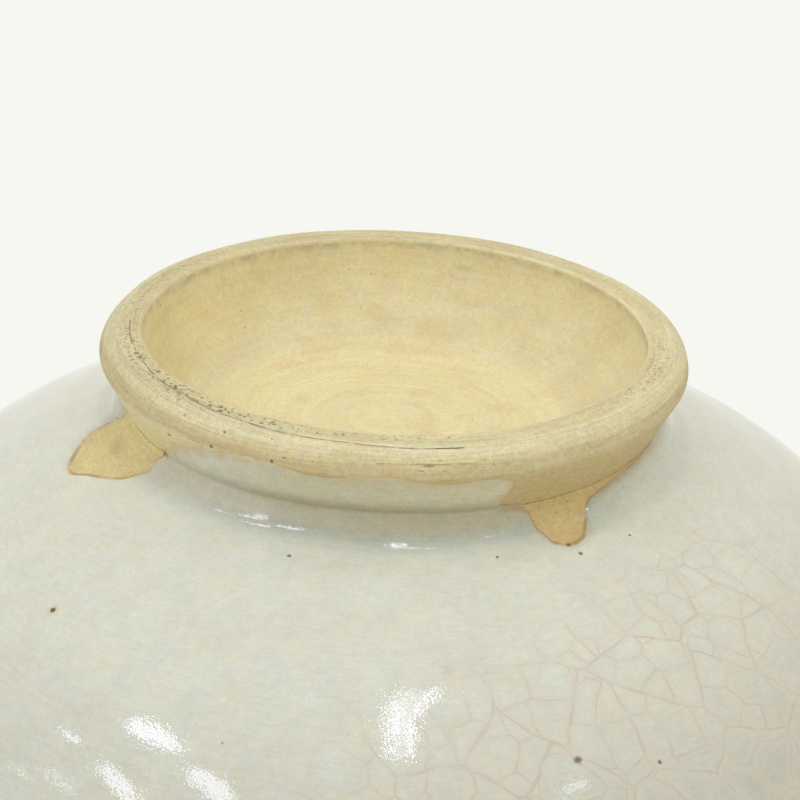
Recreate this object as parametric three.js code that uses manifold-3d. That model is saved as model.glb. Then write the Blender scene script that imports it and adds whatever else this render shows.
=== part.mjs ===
// A thrown tea bowl standing on its foot: clay bowl, clay foot ring, and a coat of glaze on each side.
// Millimetres, +Z up through the mouth. The origin is the centre of the foot's resting face.
import * as THREE from 'three';
import { mergeVertices } from 'three/addons/utils/BufferGeometryUtils.js';
import Module from 'manifold-3d';

// Whole bowl, measured over the glaze
const mouthRadius = 62.5;
const bowlHeight = 72;
const lipThickness = 4;
const wallThickness = 4.8;
const wallLean = THREE.MathUtils.degToRad(8.4); // how far the upper wall leans out from upright

// Shoulder, the shallow cone that runs from the foot to the belly
const shoulderSlope = THREE.MathUtils.degToRad(27); // above level
const shoulderRise = 0.7; // the glaze of the shoulder starts this far above the foot's root
const shoulderWidth = 13.2; // from the foot's root out to where the belly starts

// Foot ring
const footWidestRadius = 29;
const footWidestHeight = 2.5;
const footHeight = 7.4;
const footUndercut = 3.2; // the root is this much smaller in radius than the widest line
const footRoundWidth = 2.3; // the rounded edge between the resting face and the widest line
const restWidth = 1.8; // the flat resting face
const restEdgeBevel = 0.25;

// Recess turned out of the foot
const recessDepth = 9.9; // at the corner, under the wall
const recessDome = 0.5; // the floor is this much higher in the middle
const recessCornerRadius = 4;
const recessWallLean = THREE.MathUtils.degToRad(31.5); // from upright

// Tea well, the shallow dish in the middle of the inside floor
const wellRadius = 15;
const wellDepth = 0.7;
const wellSlopeWidth = 2;

// Glaze coats
const coatThickness = 0.6;
const footCoatThickness = 0.4;
const glazePoolRadius = 1.4; // the glaze gathers in the corner round the foot's root
const coatGap = 0.3; // between a coat and its clay, and between the two coats below the lip
const seamGap = 0.3; // between the foot ring and the base

// Edge of the glaze on the side of the foot: azimuth in degrees, and the share of the way that the
// glaze climbs from the root to the widest line. It climbs only between the two finger marks.
const glazeEdge = [
  [-180, 0],
  [-114.5, 0],
  [-113.5, 0.37],
  [-112.5, 0.74],
  [-108, 0.9],
  [-102, 0.84],
  [-97, 0.92],
  [-94.5, 0.68],
  [-92, 0.94],
  [-84, 0.94],
  [-68, 0.92],
  [-54, 0.88],
  [-45, 0.58],
  [-38, 0.2],
  [-36, 0],
  [180, 0],
];

// Outlines of the bare finger marks in plan: azimuth in degrees, and reach beyond the foot's root
const markStart = -0.4;
const leftFingerMark = [
  [-10.2, markStart],
  [-10.4, 2.6],
  [-12, 4.7],
  [-20, 7.3],
  [-25, 5.8],
  [-32, 3.9],
  [-35.4, 2.1],
  [-36.5, markStart],
];
const rightFingerMark = [
  [-117.4, markStart],
  [-119.2, 2],
  [-121, 4],
  [-124.5, 4.7],
  [-128, 3.9],
  [-131, 2.4],
  [-136, 1],
  [-143, markStart],
];

// Fineness of the faceted solids
const segmentsAround = 56;
const cutterSegments = 120;
const bellySteps = 8;
const lipSteps = 6;
const innerSteps = 9;
const footRoundSteps = 5;
const filletSteps = 4;
const markPoints = 22;

const clayMaterial = () => new THREE.MeshStandardMaterial({ color: 0xdcc9a0, roughness: 0.85, metalness: 0 });
const glazeMaterial = () => new THREE.MeshStandardMaterial({ color: 0xd9dad0, roughness: 0.12, metalness: 0 });

const point = (radius, height) => new THREE.Vector2(radius, height);

const restOuterRadius = footWidestRadius - footRoundWidth;
const restInnerRadius = restOuterRadius - restWidth;
const footRootRadius = footWidestRadius - footUndercut;

// Points of a circular arc in the section plane, from one angle to another
function arc(centre, radius, startAngle, endAngle, steps) {
  const points = [];
  for (let i = 0; i <= steps; i += 1) {
    const angle = THREE.MathUtils.lerp(startAngle, endAngle, i / steps);
    points.push(point(centre.x + radius * Math.cos(angle), centre.y + radius * Math.sin(angle)));
  }
  return points;
}

// The corner between two straight runs, rounded by an arc that touches both
function roundedCorner(before, corner, after, radius, steps) {
  const towardsBefore = before.clone().sub(corner).normalize();
  const towardsAfter = after.clone().sub(corner).normalize();
  const halfAngle = Math.acos(towardsBefore.dot(towardsAfter)) / 2;
  const bisector = towardsBefore.clone().add(towardsAfter).normalize();
  const centre = corner.clone().addScaledVector(bisector, radius / Math.sin(halfAngle));
  const touch = radius / Math.tan(halfAngle);
  const first = corner.clone().addScaledVector(towardsBefore, touch).sub(centre);
  const last = corner.clone().addScaledVector(towardsAfter, touch).sub(centre);
  const turn = Math.atan2(first.cross(last), first.dot(last));
  return arc(centre, radius, first.angle(), first.angle() + turn, steps);
}

// A section curve moved sideways by a distance, to the left of its direction
function offsetCurve(curve, distance) {
  return curve.map((here, i) => {
    const normals = [];
    if (i > 0) normals.push(leftNormal(curve[i - 1], here));
    if (i < curve.length - 1) normals.push(leftNormal(here, curve[i + 1]));
    const mean = normals.reduce((sum, normal) => sum.add(normal), point(0, 0)).normalize();
    const leftOfRun = i > 0 ? leftNormal(curve[i - 1], here) : mean;
    return here.clone().addScaledVector(mean, distance / mean.dot(leftOfRun));
  });
}

function leftNormal(from, to) {
  const run = to.clone().sub(from).normalize();
  return point(-run.y, run.x);
}

// Where the line through two points reaches a radius
function atRadius(from, to, radius) {
  return from.clone().lerp(to, (radius - from.x) / (to.x - from.x));
}

// Where the line through two points reaches a height
function atHeight(from, to, height) {
  return from.clone().lerp(to, (height - from.y) / (to.y - from.y));
}

// Where two lines cross, each given by two points
function crossing(a, b, c, d) {
  const run = b.clone().sub(a);
  const other = d.clone().sub(c);
  return a.clone().addScaledVector(run, c.clone().sub(a).cross(other) / run.cross(other));
}

// A solid turned from a section in the plane of radius and height
function turned(section) {
  const geometry = new THREE.LatheGeometry(section, segmentsAround);
  geometry.rotateX(Math.PI / 2);
  return geometry;
}

const closed = (section) => [...section, section[0].clone()];

// The finished section of the bowl over the glaze, from the shoulder at the foot's root up the
// outside, over the lip, down the inside and in to the axis.
function finishedSection() {
  const lipRadius = lipThickness / 2;
  const lipCentre = point(mouthRadius - lipRadius, bowlHeight - lipRadius);
  const lip = arc(lipCentre, lipRadius, -wallLean, Math.PI - wallLean, lipSteps);

  const shoulderStart = point(footRootRadius, footHeight + shoulderRise);
  const bellyStart = point(
    footRootRadius + shoulderWidth,
    shoulderStart.y + shoulderWidth * Math.tan(shoulderSlope),
  );
  // The belly is the one arc that touches both the shoulder and the leaning upper wall.
  const wallTop = lip[0];
  const reach = (wallTop.x - bellyStart.x) * Math.cos(wallLean) - (wallTop.y - bellyStart.y) * Math.sin(wallLean);
  const bellyRadius = reach / (1 - Math.sin(shoulderSlope + wallLean));
  const bellyCentre = point(
    bellyStart.x - bellyRadius * Math.sin(shoulderSlope),
    bellyStart.y + bellyRadius * Math.cos(shoulderSlope),
  );
  const belly = arc(bellyCentre, bellyRadius, shoulderSlope - Math.PI / 2, -wallLean, bellySteps);

  const innerRadius = bellyRadius - wallThickness;
  const inside = arc(bellyCentre, innerRadius, -wallLean, -Math.PI / 2, innerSteps);
  const floor = inside[inside.length - 1];
  const well = [
    point(wellRadius + wellSlopeWidth, floor.y),
    point(wellRadius, floor.y - wellDepth),
    point(0, floor.y - wellDepth),
  ];
  const coatsMeet = lip[lipSteps].clone().lerp(inside[0], coatGap / lip[lipSteps].distanceTo(inside[0]));
  const outside = [shoulderStart, ...belly, ...lip];
  return { outside, inside: [coatsMeet, ...inside, ...well] };
}

const finished = finishedSection();
const clayDepth = coatThickness + coatGap;
const claySurface = offsetCurve([...finished.outside, ...finished.inside], clayDepth);
const coatBack = offsetCurve([...finished.outside, ...finished.inside], coatThickness);

// The wall of the recess leans in from the resting face towards its floor.
const recessEdge = point(restInnerRadius - restEdgeBevel, restEdgeBevel);
const recessCorner = point(
  recessEdge.x - (recessDepth - restEdgeBevel) * Math.tan(recessWallLean),
  recessDepth,
);
const footWallTop = point(footWidestRadius, footWidestHeight);
const footRoot = point(footRootRadius, footHeight);

// The ring has a flat resting face, a rounded outer edge and an undercut side.
function footRingGeometry() {
  const roundOver = [];
  for (let i = 1; i <= footRoundSteps; i += 1) {
    const angle = (i / footRoundSteps) * (Math.PI / 2);
    roundOver.push(point(
      restOuterRadius + footRoundWidth * Math.sin(angle),
      footWidestHeight * (1 - Math.cos(angle)),
    ));
  }
  return turned(closed([
    point(restInnerRadius, 0),
    point(restOuterRadius, 0),
    ...roundOver,
    footRoot,
    atHeight(recessEdge, recessCorner, footHeight),
    recessEdge,
  ]));
}

// The base has a flat seat for the ring, the floor of the recess inside it, and a low neck round it.
function bowlBodyGeometry() {
  const seatHeight = footHeight + seamGap;
  const seatInner = atHeight(recessEdge, recessCorner, seatHeight);
  const centre = point(0, recessDepth - recessDome);
  const corner = roundedCorner(centre, recessCorner, seatInner, recessCornerRadius, filletSteps);
  const neckTop = atRadius(claySurface[0], claySurface[1], footRootRadius);
  return turned([
    centre,
    ...corner,
    seatInner,
    point(footRootRadius, seatHeight),
    neckTop,
    ...claySurface.slice(1),
  ]);
}

// A closed solid for cutting and joining, made from a closed geometry
function solidOf(kernel, geometry) {
  const bare = geometry.clone();
  bare.deleteAttribute('normal');
  bare.deleteAttribute('uv');
  const merged = mergeVertices(bare);
  return new kernel.Manifold(new kernel.Mesh({
    numProp: 3,
    vertProperties: new Float32Array(merged.getAttribute('position').array),
    triVerts: new Uint32Array(merged.index.array),
  }));
}

function geometryOf(solid) {
  const mesh = solid.getMesh();
  const geometry = new THREE.BufferGeometry();
  geometry.setAttribute('position', new THREE.BufferAttribute(new Float32Array(mesh.vertProperties), 3));
  geometry.setIndex(new THREE.BufferAttribute(new Uint32Array(mesh.triVerts), 1));
  geometry.computeVertexNormals();
  return geometry;
}

function onCircle(azimuthDegrees, radius) {
  const azimuth = THREE.MathUtils.degToRad(azimuthDegrees);
  return point(radius * Math.cos(azimuth), radius * Math.sin(azimuth));
}

// Height of the glaze's edge on the side of the foot at one azimuth
function glazeEdgeHeight(azimuthDegrees) {
  const next = Math.max(1, glazeEdge.findIndex(([azimuth]) => azimuth >= azimuthDegrees));
  const [startAzimuth, startClimb] = glazeEdge[next - 1];
  const [endAzimuth, endClimb] = glazeEdge[next];
  const along = (azimuthDegrees - startAzimuth) / (endAzimuth - startAzimuth);
  const climb = THREE.MathUtils.lerp(startClimb, endClimb, along);
  return THREE.MathUtils.lerp(footHeight + seamGap, footWidestHeight, climb);
}

// A ring that takes away the coat between the resting face and the glaze's edge
function bareFootCutter() {
  const innerRadius = restInnerRadius;
  const outerRadius = footWidestRadius + 2 * (coatGap + footCoatThickness);
  const positions = [];
  const triangles = [];
  for (let i = 0; i < cutterSegments; i += 1) {
    const azimuth = -180 + (360 * i) / cutterSegments;
    const edge = glazeEdgeHeight(azimuth);
    const inner = onCircle(azimuth, innerRadius);
    const outer = onCircle(azimuth, outerRadius);
    positions.push(inner.x, inner.y, 0, outer.x, outer.y, 0, outer.x, outer.y, edge, inner.x, inner.y, edge);
    const here = 4 * i;
    const there = 4 * ((i + 1) % cutterSegments);
    for (let side = 0; side < 4; side += 1) {
      const next = (side + 1) % 4;
      triangles.push(here + side, here + next, there + next);
      triangles.push(here + side, there + next, there + side);
    }
  }
  const geometry = new THREE.BufferGeometry();
  geometry.setAttribute('position', new THREE.BufferAttribute(new Float32Array(positions), 3));
  geometry.setIndex(triangles.reverse());
  return geometry;
}

// An upright prism over the outline of one finger mark
function fingerMarkCutter(outline) {
  const corners = outline.map(([azimuth, reach]) => onCircle(azimuth, footRootRadius + reach));
  const edge = new THREE.SplineCurve([...corners, corners[0]]).getPoints(markPoints);
  const shape = new THREE.Shape(edge.slice(0, -1));
  return new THREE.ExtrudeGeometry(shape, { depth: bowlHeight / 2, bevelEnabled: false });
}

// The outer coat hugs the side of the foot, fills the corner at its root, and runs up the outside
// and over the lip. The foot's bare parts and the finger marks are then cut out of it.
async function outerGlazeGeometry() {
  const footSide = [footWallTop, footRoot];
  const [backTop, backRoot] = offsetCurve(footSide, -coatGap);
  const [faceTop, faceRoot] = offsetCurve(footSide, -coatGap - footCoatThickness);
  const neckRadius = footRootRadius + coatGap;
  const [shoulderStart, bellyStart] = finished.outside;
  const corner = crossing(faceTop, faceRoot, shoulderStart, bellyStart);
  const pool = roundedCorner(faceTop, corner, bellyStart, glazePoolRadius, filletSteps);
  const lastOfLip = finished.outside.length;
  const section = closed([
    faceTop,
    ...pool,
    ...finished.outside.slice(1),
    ...coatBack.slice(1, lastOfLip).reverse(),
    atRadius(coatBack[0], coatBack[1], neckRadius),
    atRadius(backTop, backRoot, neckRadius),
    backTop,
  ]);

  const kernel = await Module();
  kernel.setup();
  let coat = solidOf(kernel, turned(section)).subtract(solidOf(kernel, bareFootCutter()));
  for (const outline of [leftFingerMark, rightFingerMark]) {
    coat = coat.subtract(solidOf(kernel, fingerMarkCutter(outline)));
  }
  return geometryOf(coat);
}

function innerGlazeGeometry() {
  const firstInside = finished.outside.length;
  return turned([
    ...coatBack.slice(firstInside).reverse(),
    ...finished.inside,
  ]);
}

function piece(name, geometry, material) {
  const mesh = new THREE.Mesh(geometry, material);
  mesh.name = name;
  return mesh;
}

const teaBowl = new THREE.Group();
teaBowl.add(piece('bowl_body', bowlBodyGeometry(), clayMaterial()));
teaBowl.add(piece('foot_ring', footRingGeometry(), clayMaterial()));
teaBowl.add(piece('outer_glaze', await outerGlazeGeometry(), glazeMaterial()));
teaBowl.add(piece('inner_glaze', innerGlazeGeometry(), glazeMaterial()));

export default teaBowl;
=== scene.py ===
"""A thrown tea bowl with a turned foot, dressed and lit for a picture taken from under its foot.

Lengths are millimetres in the bowl's own frame, +Z up through the mouth and the origin in the middle
of the foot's resting face. They become metres only where a mesh, a lamp or the camera is made.
A place on the bowl's skin is given by its azimuth in degrees and by its reach: the distance along the
section from the root of the foot, positive out over the belly and negative down the foot's side.
"""
import logging
import math
from abc import ABC, abstractmethod
from dataclasses import dataclass, field
from enum import Enum
from functools import cache, reduce
from typing import ClassVar

import bpy
import numpy as np
from mathutils import Matrix, Vector


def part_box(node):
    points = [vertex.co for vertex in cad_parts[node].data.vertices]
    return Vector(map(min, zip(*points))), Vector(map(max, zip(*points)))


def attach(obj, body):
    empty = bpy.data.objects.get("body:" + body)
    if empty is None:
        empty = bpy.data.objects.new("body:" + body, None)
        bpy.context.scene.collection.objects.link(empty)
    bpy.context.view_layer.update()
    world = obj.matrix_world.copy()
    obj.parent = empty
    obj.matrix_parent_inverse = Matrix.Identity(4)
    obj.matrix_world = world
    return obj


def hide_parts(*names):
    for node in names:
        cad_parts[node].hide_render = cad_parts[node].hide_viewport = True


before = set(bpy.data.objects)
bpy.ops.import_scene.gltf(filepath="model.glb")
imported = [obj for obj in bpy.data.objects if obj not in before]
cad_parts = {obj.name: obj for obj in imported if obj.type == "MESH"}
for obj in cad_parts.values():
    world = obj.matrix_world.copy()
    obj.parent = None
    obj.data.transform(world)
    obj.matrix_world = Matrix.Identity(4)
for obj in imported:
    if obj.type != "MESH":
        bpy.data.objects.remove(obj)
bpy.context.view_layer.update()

log = logging.getLogger("tea_bowl")

Array = np.ndarray
Colour = tuple[float, float, float]
Place = tuple[float, float, float]
Socket = bpy.types.NodeSocket

METRES = 0.001  # one millimetre
BODY = "root"
WHITE = (1.0, 1.0, 1.0)
SOFT_WHITE = (1.0, 1.0, 0.97)
CRACK_GIRTH = 45.0  # mm from the axis at which the cracks have their plain size
ROOT_ALONG = 10.96  # mm along the section from the recess's edge to the foot's root
CURVE_STEPS = 12  # between two points of a drawn curve
ARC_POINTS = 64
TINY = 1e-9  # keeps a division from failing where a length is nothing
DEEP_IN_CLAY = -5.0  # stored as the distance to the glaze's border far from any glaze
DEEP_IN_GLAZE = 5.0  # stored as that distance far from any clay


class Slot(Enum):
    """The material slots of the record."""

    CLAY = "clay"
    GLAZE = "glaze"


class Mark(str, Enum):
    """Values stored on the points of a mesh, which the finishes read."""

    ALONG = "along_section"  # mm along the section of the clay, 0 at the recess's edge
    REACH = "reach"  # mm along the section from the foot's root
    BORDER = "glaze_border"  # mm to the glaze's border, positive on the glazed side
    PITTED = "pitted"  # how thick the pits lie
    SPREAD = "spread"  # mm outwards over the glaze, counted so that its cracks grow with the girth


# Curves in the section plane

def curve_through(points: list[tuple[float, float]]) -> Array:
    """Draws a smooth curve through points.

    Args:
        points: Radius and height of each point.

    Returns:
        Points of the curve, from the first to the last.
    """
    given = np.array(points, float)
    knots = np.vstack([2 * given[0] - given[1], given, 2 * given[-1] - given[-2]])
    share = np.linspace(0, 1, CURVE_STEPS, endpoint=False)[:, None]
    runs = []
    for a, b, c, d in zip(knots, knots[1:], knots[2:], knots[3:]):
        cubic = (3 * b - a - 3 * c + d) * share**3
        runs.append(0.5 * (2 * b + (c - a) * share + (2 * a - 5 * b + 4 * c - d) * share**2 + cubic))
    return np.vstack([*runs, given[-1:]])


def arc(centre: tuple[float, float], radii: tuple[float, float], start: float, end: float) -> Array:
    """Draws an arc of a circle or an ellipse.

    Args:
        centre: Radius and height of its centre.
        radii: Half its width and half its height.
        start: Angle of its first point in degrees.
        end: Angle of its last point in degrees.

    Returns:
        Points of the arc.
    """
    angles = np.radians(np.linspace(start, end, ARC_POINTS))
    return np.array(centre) + np.c_[radii[0] * np.cos(angles), radii[1] * np.sin(angles)]


def lengths_along(points: Array) -> Array:
    """Returns the distance from the first point to each point, along the line."""
    return np.r_[0, np.cumsum(np.hypot(*np.diff(points, axis=0).T))]


def stretch(points: Array, steps: int) -> Array:
    """Spreads points evenly along a line.

    Args:
        points: Radius and height of the line's points.
        steps: Number of steps on the new line.

    Returns:
        The same line with points at even distances.
    """
    along = lengths_along(points)
    even = np.linspace(0, along[-1], steps + 1)
    return np.c_[np.interp(even, along, points[:, 0]), np.interp(even, along, points[:, 1])]


def spread_along(points: Array, girth: float) -> Array:
    """Measures along a section so that a millimetre counts less where the section is wider.

    Args:
        points: Radius and height of the section's points.
        girth: Radius at which a millimetre counts as one.

    Returns:
        The measure at each point, from 0 at the first.
    """
    least = girth / 3  # nearer the axis a millimetre counts no more than here
    radius = np.maximum(points[:, 0], least)
    step = np.diff(lengths_along(points)) * girth * (0.5 / radius[1:] + 0.5 / radius[:-1])
    return np.r_[0, np.cumsum(step)]


def joined(*runs: Array) -> Array:
    """Returns one line from runs that start where the last one ends."""
    return np.vstack([runs[0], *(run[1:] for run in runs[1:])])


def outward(points: Array) -> Array:
    """Returns the unit normals of a section line, away from the solid on the line's left."""
    normal = np.gradient(points, axis=0)[:, ::-1] * (1, -1)
    return normal / np.maximum(np.hypot(*normal.T), TINY)[:, None]


def ease(value: Array, start: float, end: float) -> Array:
    """Returns 0 before start, 1 after end and a smooth rise between them."""
    share = np.clip((value - start) / (end - start), 0, 1)
    return share * share * (3 - 2 * share)


@dataclass(frozen=True)
class Ripple:
    """Smooth noise on the skin that closes on itself round the axis."""

    height: float
    cells: int  # in one turn
    length: float  # of one cell along the section
    seed: int
    rows: ClassVar[int] = 512  # of the random lattice

    def over(self, azimuth: Array, along: Array) -> Array:
        """Gives the noise at places on the skin.

        Args:
            azimuth: Azimuths in degrees.
            along: Distances along the section.

        Returns:
            Noise between minus the height and the height.
        """
        lattice = np.random.default_rng(self.seed).uniform(-1, 1, (self.cells, self.rows))
        u, v = azimuth / 360 * self.cells, along / self.length
        column, row = np.floor(u).astype(int), np.floor(v).astype(int)
        du, dv = ease(u - column, 0, 1), ease(v - row, 0, 1)

        def corner(right: int, up: int) -> Array:
            """Returns the lattice's value at one corner of each cell."""
            return lattice[(column + right) % self.cells, (row + up) % self.rows]

        low = corner(0, 0) * (1 - du) + corner(1, 0) * du
        high = corner(0, 1) * (1 - du) + corner(1, 1) * du
        return self.height * (low * (1 - dv) + high * dv)


def heaped(ripples: tuple[Ripple, ...], azimuth: Array, along: Array) -> Array:
    """Returns the sum of several ripples."""
    return sum(ripple.over(azimuth, along) for ripple in ripples)


@dataclass(frozen=True)
class BowlForm:
    """The bowl's section, from the middle of the recess over the foot and the lip to the tea well."""

    mouth_radius: float
    height: float
    foot_radius: float
    foot_height: float
    lip_thickness: float = 4.0
    wall_thickness: float = 4.8
    wall_lean: float = 8.4  # degrees from upright
    shoulder_slope: float = 27.0  # degrees above level
    root_inset: float = 2.7  # of the foot's root under its widest line
    root_lift: float = 0.05  # of the root over the foot's height
    widest_height: float = 2.5
    rest_outer_inset: float = 2.3  # of the resting face under the widest line
    rest_inner_radius: float = 25.03
    recess_edge_bevel: float = 0.18
    glaze_thickness: float = 0.42
    foot_glaze_thickness: float = 0.16  # at the widest line
    root_glaze_thickness: float = 0.29  # on the foot's side, just above its root
    seam_lift: float = 0.04  # how far the ring's skin reaches up into the gap of the two solids
    corner_below_root: float = 0.285  # how far down the side the glaze's corner lies from the clay's root
    turn_radius: float = 0.6  # of the edge between the rounded band and the undercut side
    turn_end: float = 31.0  # degrees at which that edge's arc ends
    glaze_root_out: float = 0.43  # of the glaze's corner, beyond the clay's root
    glaze_root_down: float = 0.2
    corner_slope: float = 58.0  # degrees above level at which the glaze climbs out of the corner
    low_slope: float = 25.0  # degrees at which it runs on
    climb: float = 2.1  # length of the steep part
    bend: float = 3.2  # radius between the steep part and the low one
    well_start: float = -84.0  # degrees on the belly's arc at which the tea well starts
    lip_slump: float = 0.6  # how far the lip dips at its lowest
    wall_draw: float = 0.012  # share of its radius by which the lip is drawn in at most
    waver_start: float = 24.0  # height from which the wall wavers
    draw: Ripple = Ripple(0.5, 5, 60.0, 31)
    dip: Ripple = Ripple(0.5, 6, 1.0, 32)

    @classmethod
    def from_frame(cls) -> "BowlForm":
        """Returns the form with its outer sizes read from the frame's boxes."""
        outside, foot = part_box("outer_glaze")[1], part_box("foot_ring")[1]
        return cls(outside[0] / METRES, outside[2] / METRES, foot[0] / METRES, foot[2] / METRES)

    @property
    def root(self) -> tuple[float, float]:
        """Radius and height of the foot's root."""
        return self.foot_radius - self.root_inset, self.foot_height + self.root_lift

    @property
    def seam_height(self) -> float:
        """Height up to which the ring's skin reaches."""
        return self.foot_height + self.seam_lift

    def recess(self) -> Array:
        """Returns the recess's skin, from its middle to the bevel at the resting face."""
        edge = self.rest_inner_radius - self.recess_edge_bevel
        return curve_through([
            (0, 9.4), (5, 9.45), (10, 9.62), (14, 9.6), (17.2, 8.9), (20, 7.55), (22.2, 5.7),
            (23.8, 3.6), (24.6, 1.7), (edge, self.recess_edge_bevel),
        ])

    def recess_parts(self, height: float) -> tuple[Array, Array]:
        """Parts the recess at one height.

        Args:
            height: Where its two parts meet in a point.

        Returns:
            Its floor and its wall.
        """
        skin = self.recess()
        below = int(np.argmax(skin[:, 1] < height))
        upper, lower = skin[below - 1], skin[below]
        meeting = upper + (lower - upper) * (upper[1] - height) / (upper[1] - lower[1])
        return np.vstack([skin[:below], meeting]), np.vstack([meeting, skin[below:]])

    def foot_outside(self) -> tuple[Array, Array, Array]:
        """Returns the foot's rounded edge, the turn under the widest line and the undercut side."""
        inset, widest, turn = self.rest_outer_inset, self.widest_height, self.turn_radius
        edge = arc((self.foot_radius - inset, widest), (inset, widest), -90, 0)
        turned_in = arc((self.foot_radius - turn, widest), (turn, turn), 0, self.turn_end)
        side = np.array([turned_in[-1], [self.root[0], self.seam_height]])
        return edge, turned_in, side

    @property
    def glaze_root(self) -> tuple[float, float]:
        """Radius and height of the corner that the glaze forms over the foot's root."""
        return self.root[0] + self.glaze_root_out, self.root[1] - self.glaze_root_down

    def shoulder(self) -> Array:
        """Draws the glazed shoulder.

        It climbs steeply out of the corner, bends over a short arc, and then runs out at a low slope.

        Returns:
            Its face, from the corner at the foot's root to the start of the belly.
        """
        start = np.array(self.glaze_root)
        steep, low = math.radians(self.corner_slope), math.radians(self.low_slope)
        bend_start = start + (self.climb * math.cos(steep), self.climb * math.sin(steep))
        bend_centre = bend_start + (self.bend * math.sin(steep), -self.bend * math.cos(steep))
        bent = arc(tuple(bend_centre), (self.bend, self.bend), 90 + self.corner_slope, 90 + self.low_slope)
        before, beyond = bent[-1] - (math.cos(low), math.sin(low)), bent[-1]
        run = curve_through([
            tuple(before), tuple(beyond), (31.5, 11.27), (34.0, 12.32), (36.5, 13.47), (39.0, 14.83),
        ])
        return joined(np.array([start, bend_start]), bent, run[CURVE_STEPS:])

    def belly(self) -> tuple[Array, tuple[float, float], float]:
        """Draws the belly as the one arc that touches both the shoulder and the leaning upper wall.

        Returns:
            Its face, and the centre and radius of its arc.
        """
        start = self.shoulder()[-1]
        lean, slope = math.radians(self.wall_lean), math.radians(self.shoulder_slope)
        lip_radius = self.lip_thickness / 2
        top = (
            self.mouth_radius - lip_radius + lip_radius * math.cos(lean),
            self.height - lip_radius - lip_radius * math.sin(lean),
        )
        reach = (top[0] - start[0]) * math.cos(lean) - (top[1] - start[1]) * math.sin(lean)
        radius = reach / (1 - math.sin(slope + lean))
        centre = start[0] - radius * math.sin(slope), start[1] + radius * math.cos(slope)
        return arc(centre, (radius, radius), self.shoulder_slope - 90, -self.wall_lean), centre, radius

    def wall_and_lip(self) -> Array:
        """Returns the face of the upper wall and the lip, from the end of the belly on."""
        lip_radius = self.lip_thickness / 2
        centre = self.mouth_radius - lip_radius, self.height - lip_radius
        lip = arc(centre, (lip_radius, lip_radius), -self.wall_lean, 180 - self.wall_lean)
        return np.vstack([self.belly()[0][-1:], lip])

    def inside(self) -> Array:
        """Returns the inside's face, from the lip down to the middle of the tea well."""
        _, centre, radius = self.belly()
        bowl = arc(centre, (radius - self.wall_thickness,) * 2, -self.wall_lean, self.well_start)
        floor = bowl[-1][1]
        well = curve_through([
            tuple(bowl[-1]), (22, floor - 0.12), (18, floor - 0.35), (15.5, floor - 0.75),
            (12, floor - 0.95), (6, floor - 0.9), (0, floor - 0.82),
        ])
        return joined(np.vstack([self.wall_and_lip()[-1:], bowl]), well)

    def sag(self, points: Array) -> Array:
        """Lets the upper wall waver and the lip dip a little, as on a thrown bowl.

        Args:
            points: Points in millimetres, in their last axis.

        Returns:
            The moved points. None moves outwards or up.
        """
        azimuth = np.degrees(np.arctan2(points[..., 1], points[..., 0]))
        share = ease(points[..., 2], self.waver_start, self.height)
        drawn = 0.5 + self.draw.over(azimuth, points[..., 2])
        dipped = 0.5 + self.dip.over(azimuth, np.zeros_like(azimuth))
        moved = points.copy()
        moved[..., :2] *= (1 - self.wall_draw * drawn * share)[..., None]
        moved[..., 2] -= self.lip_slump * dipped * share
        return moved


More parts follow.
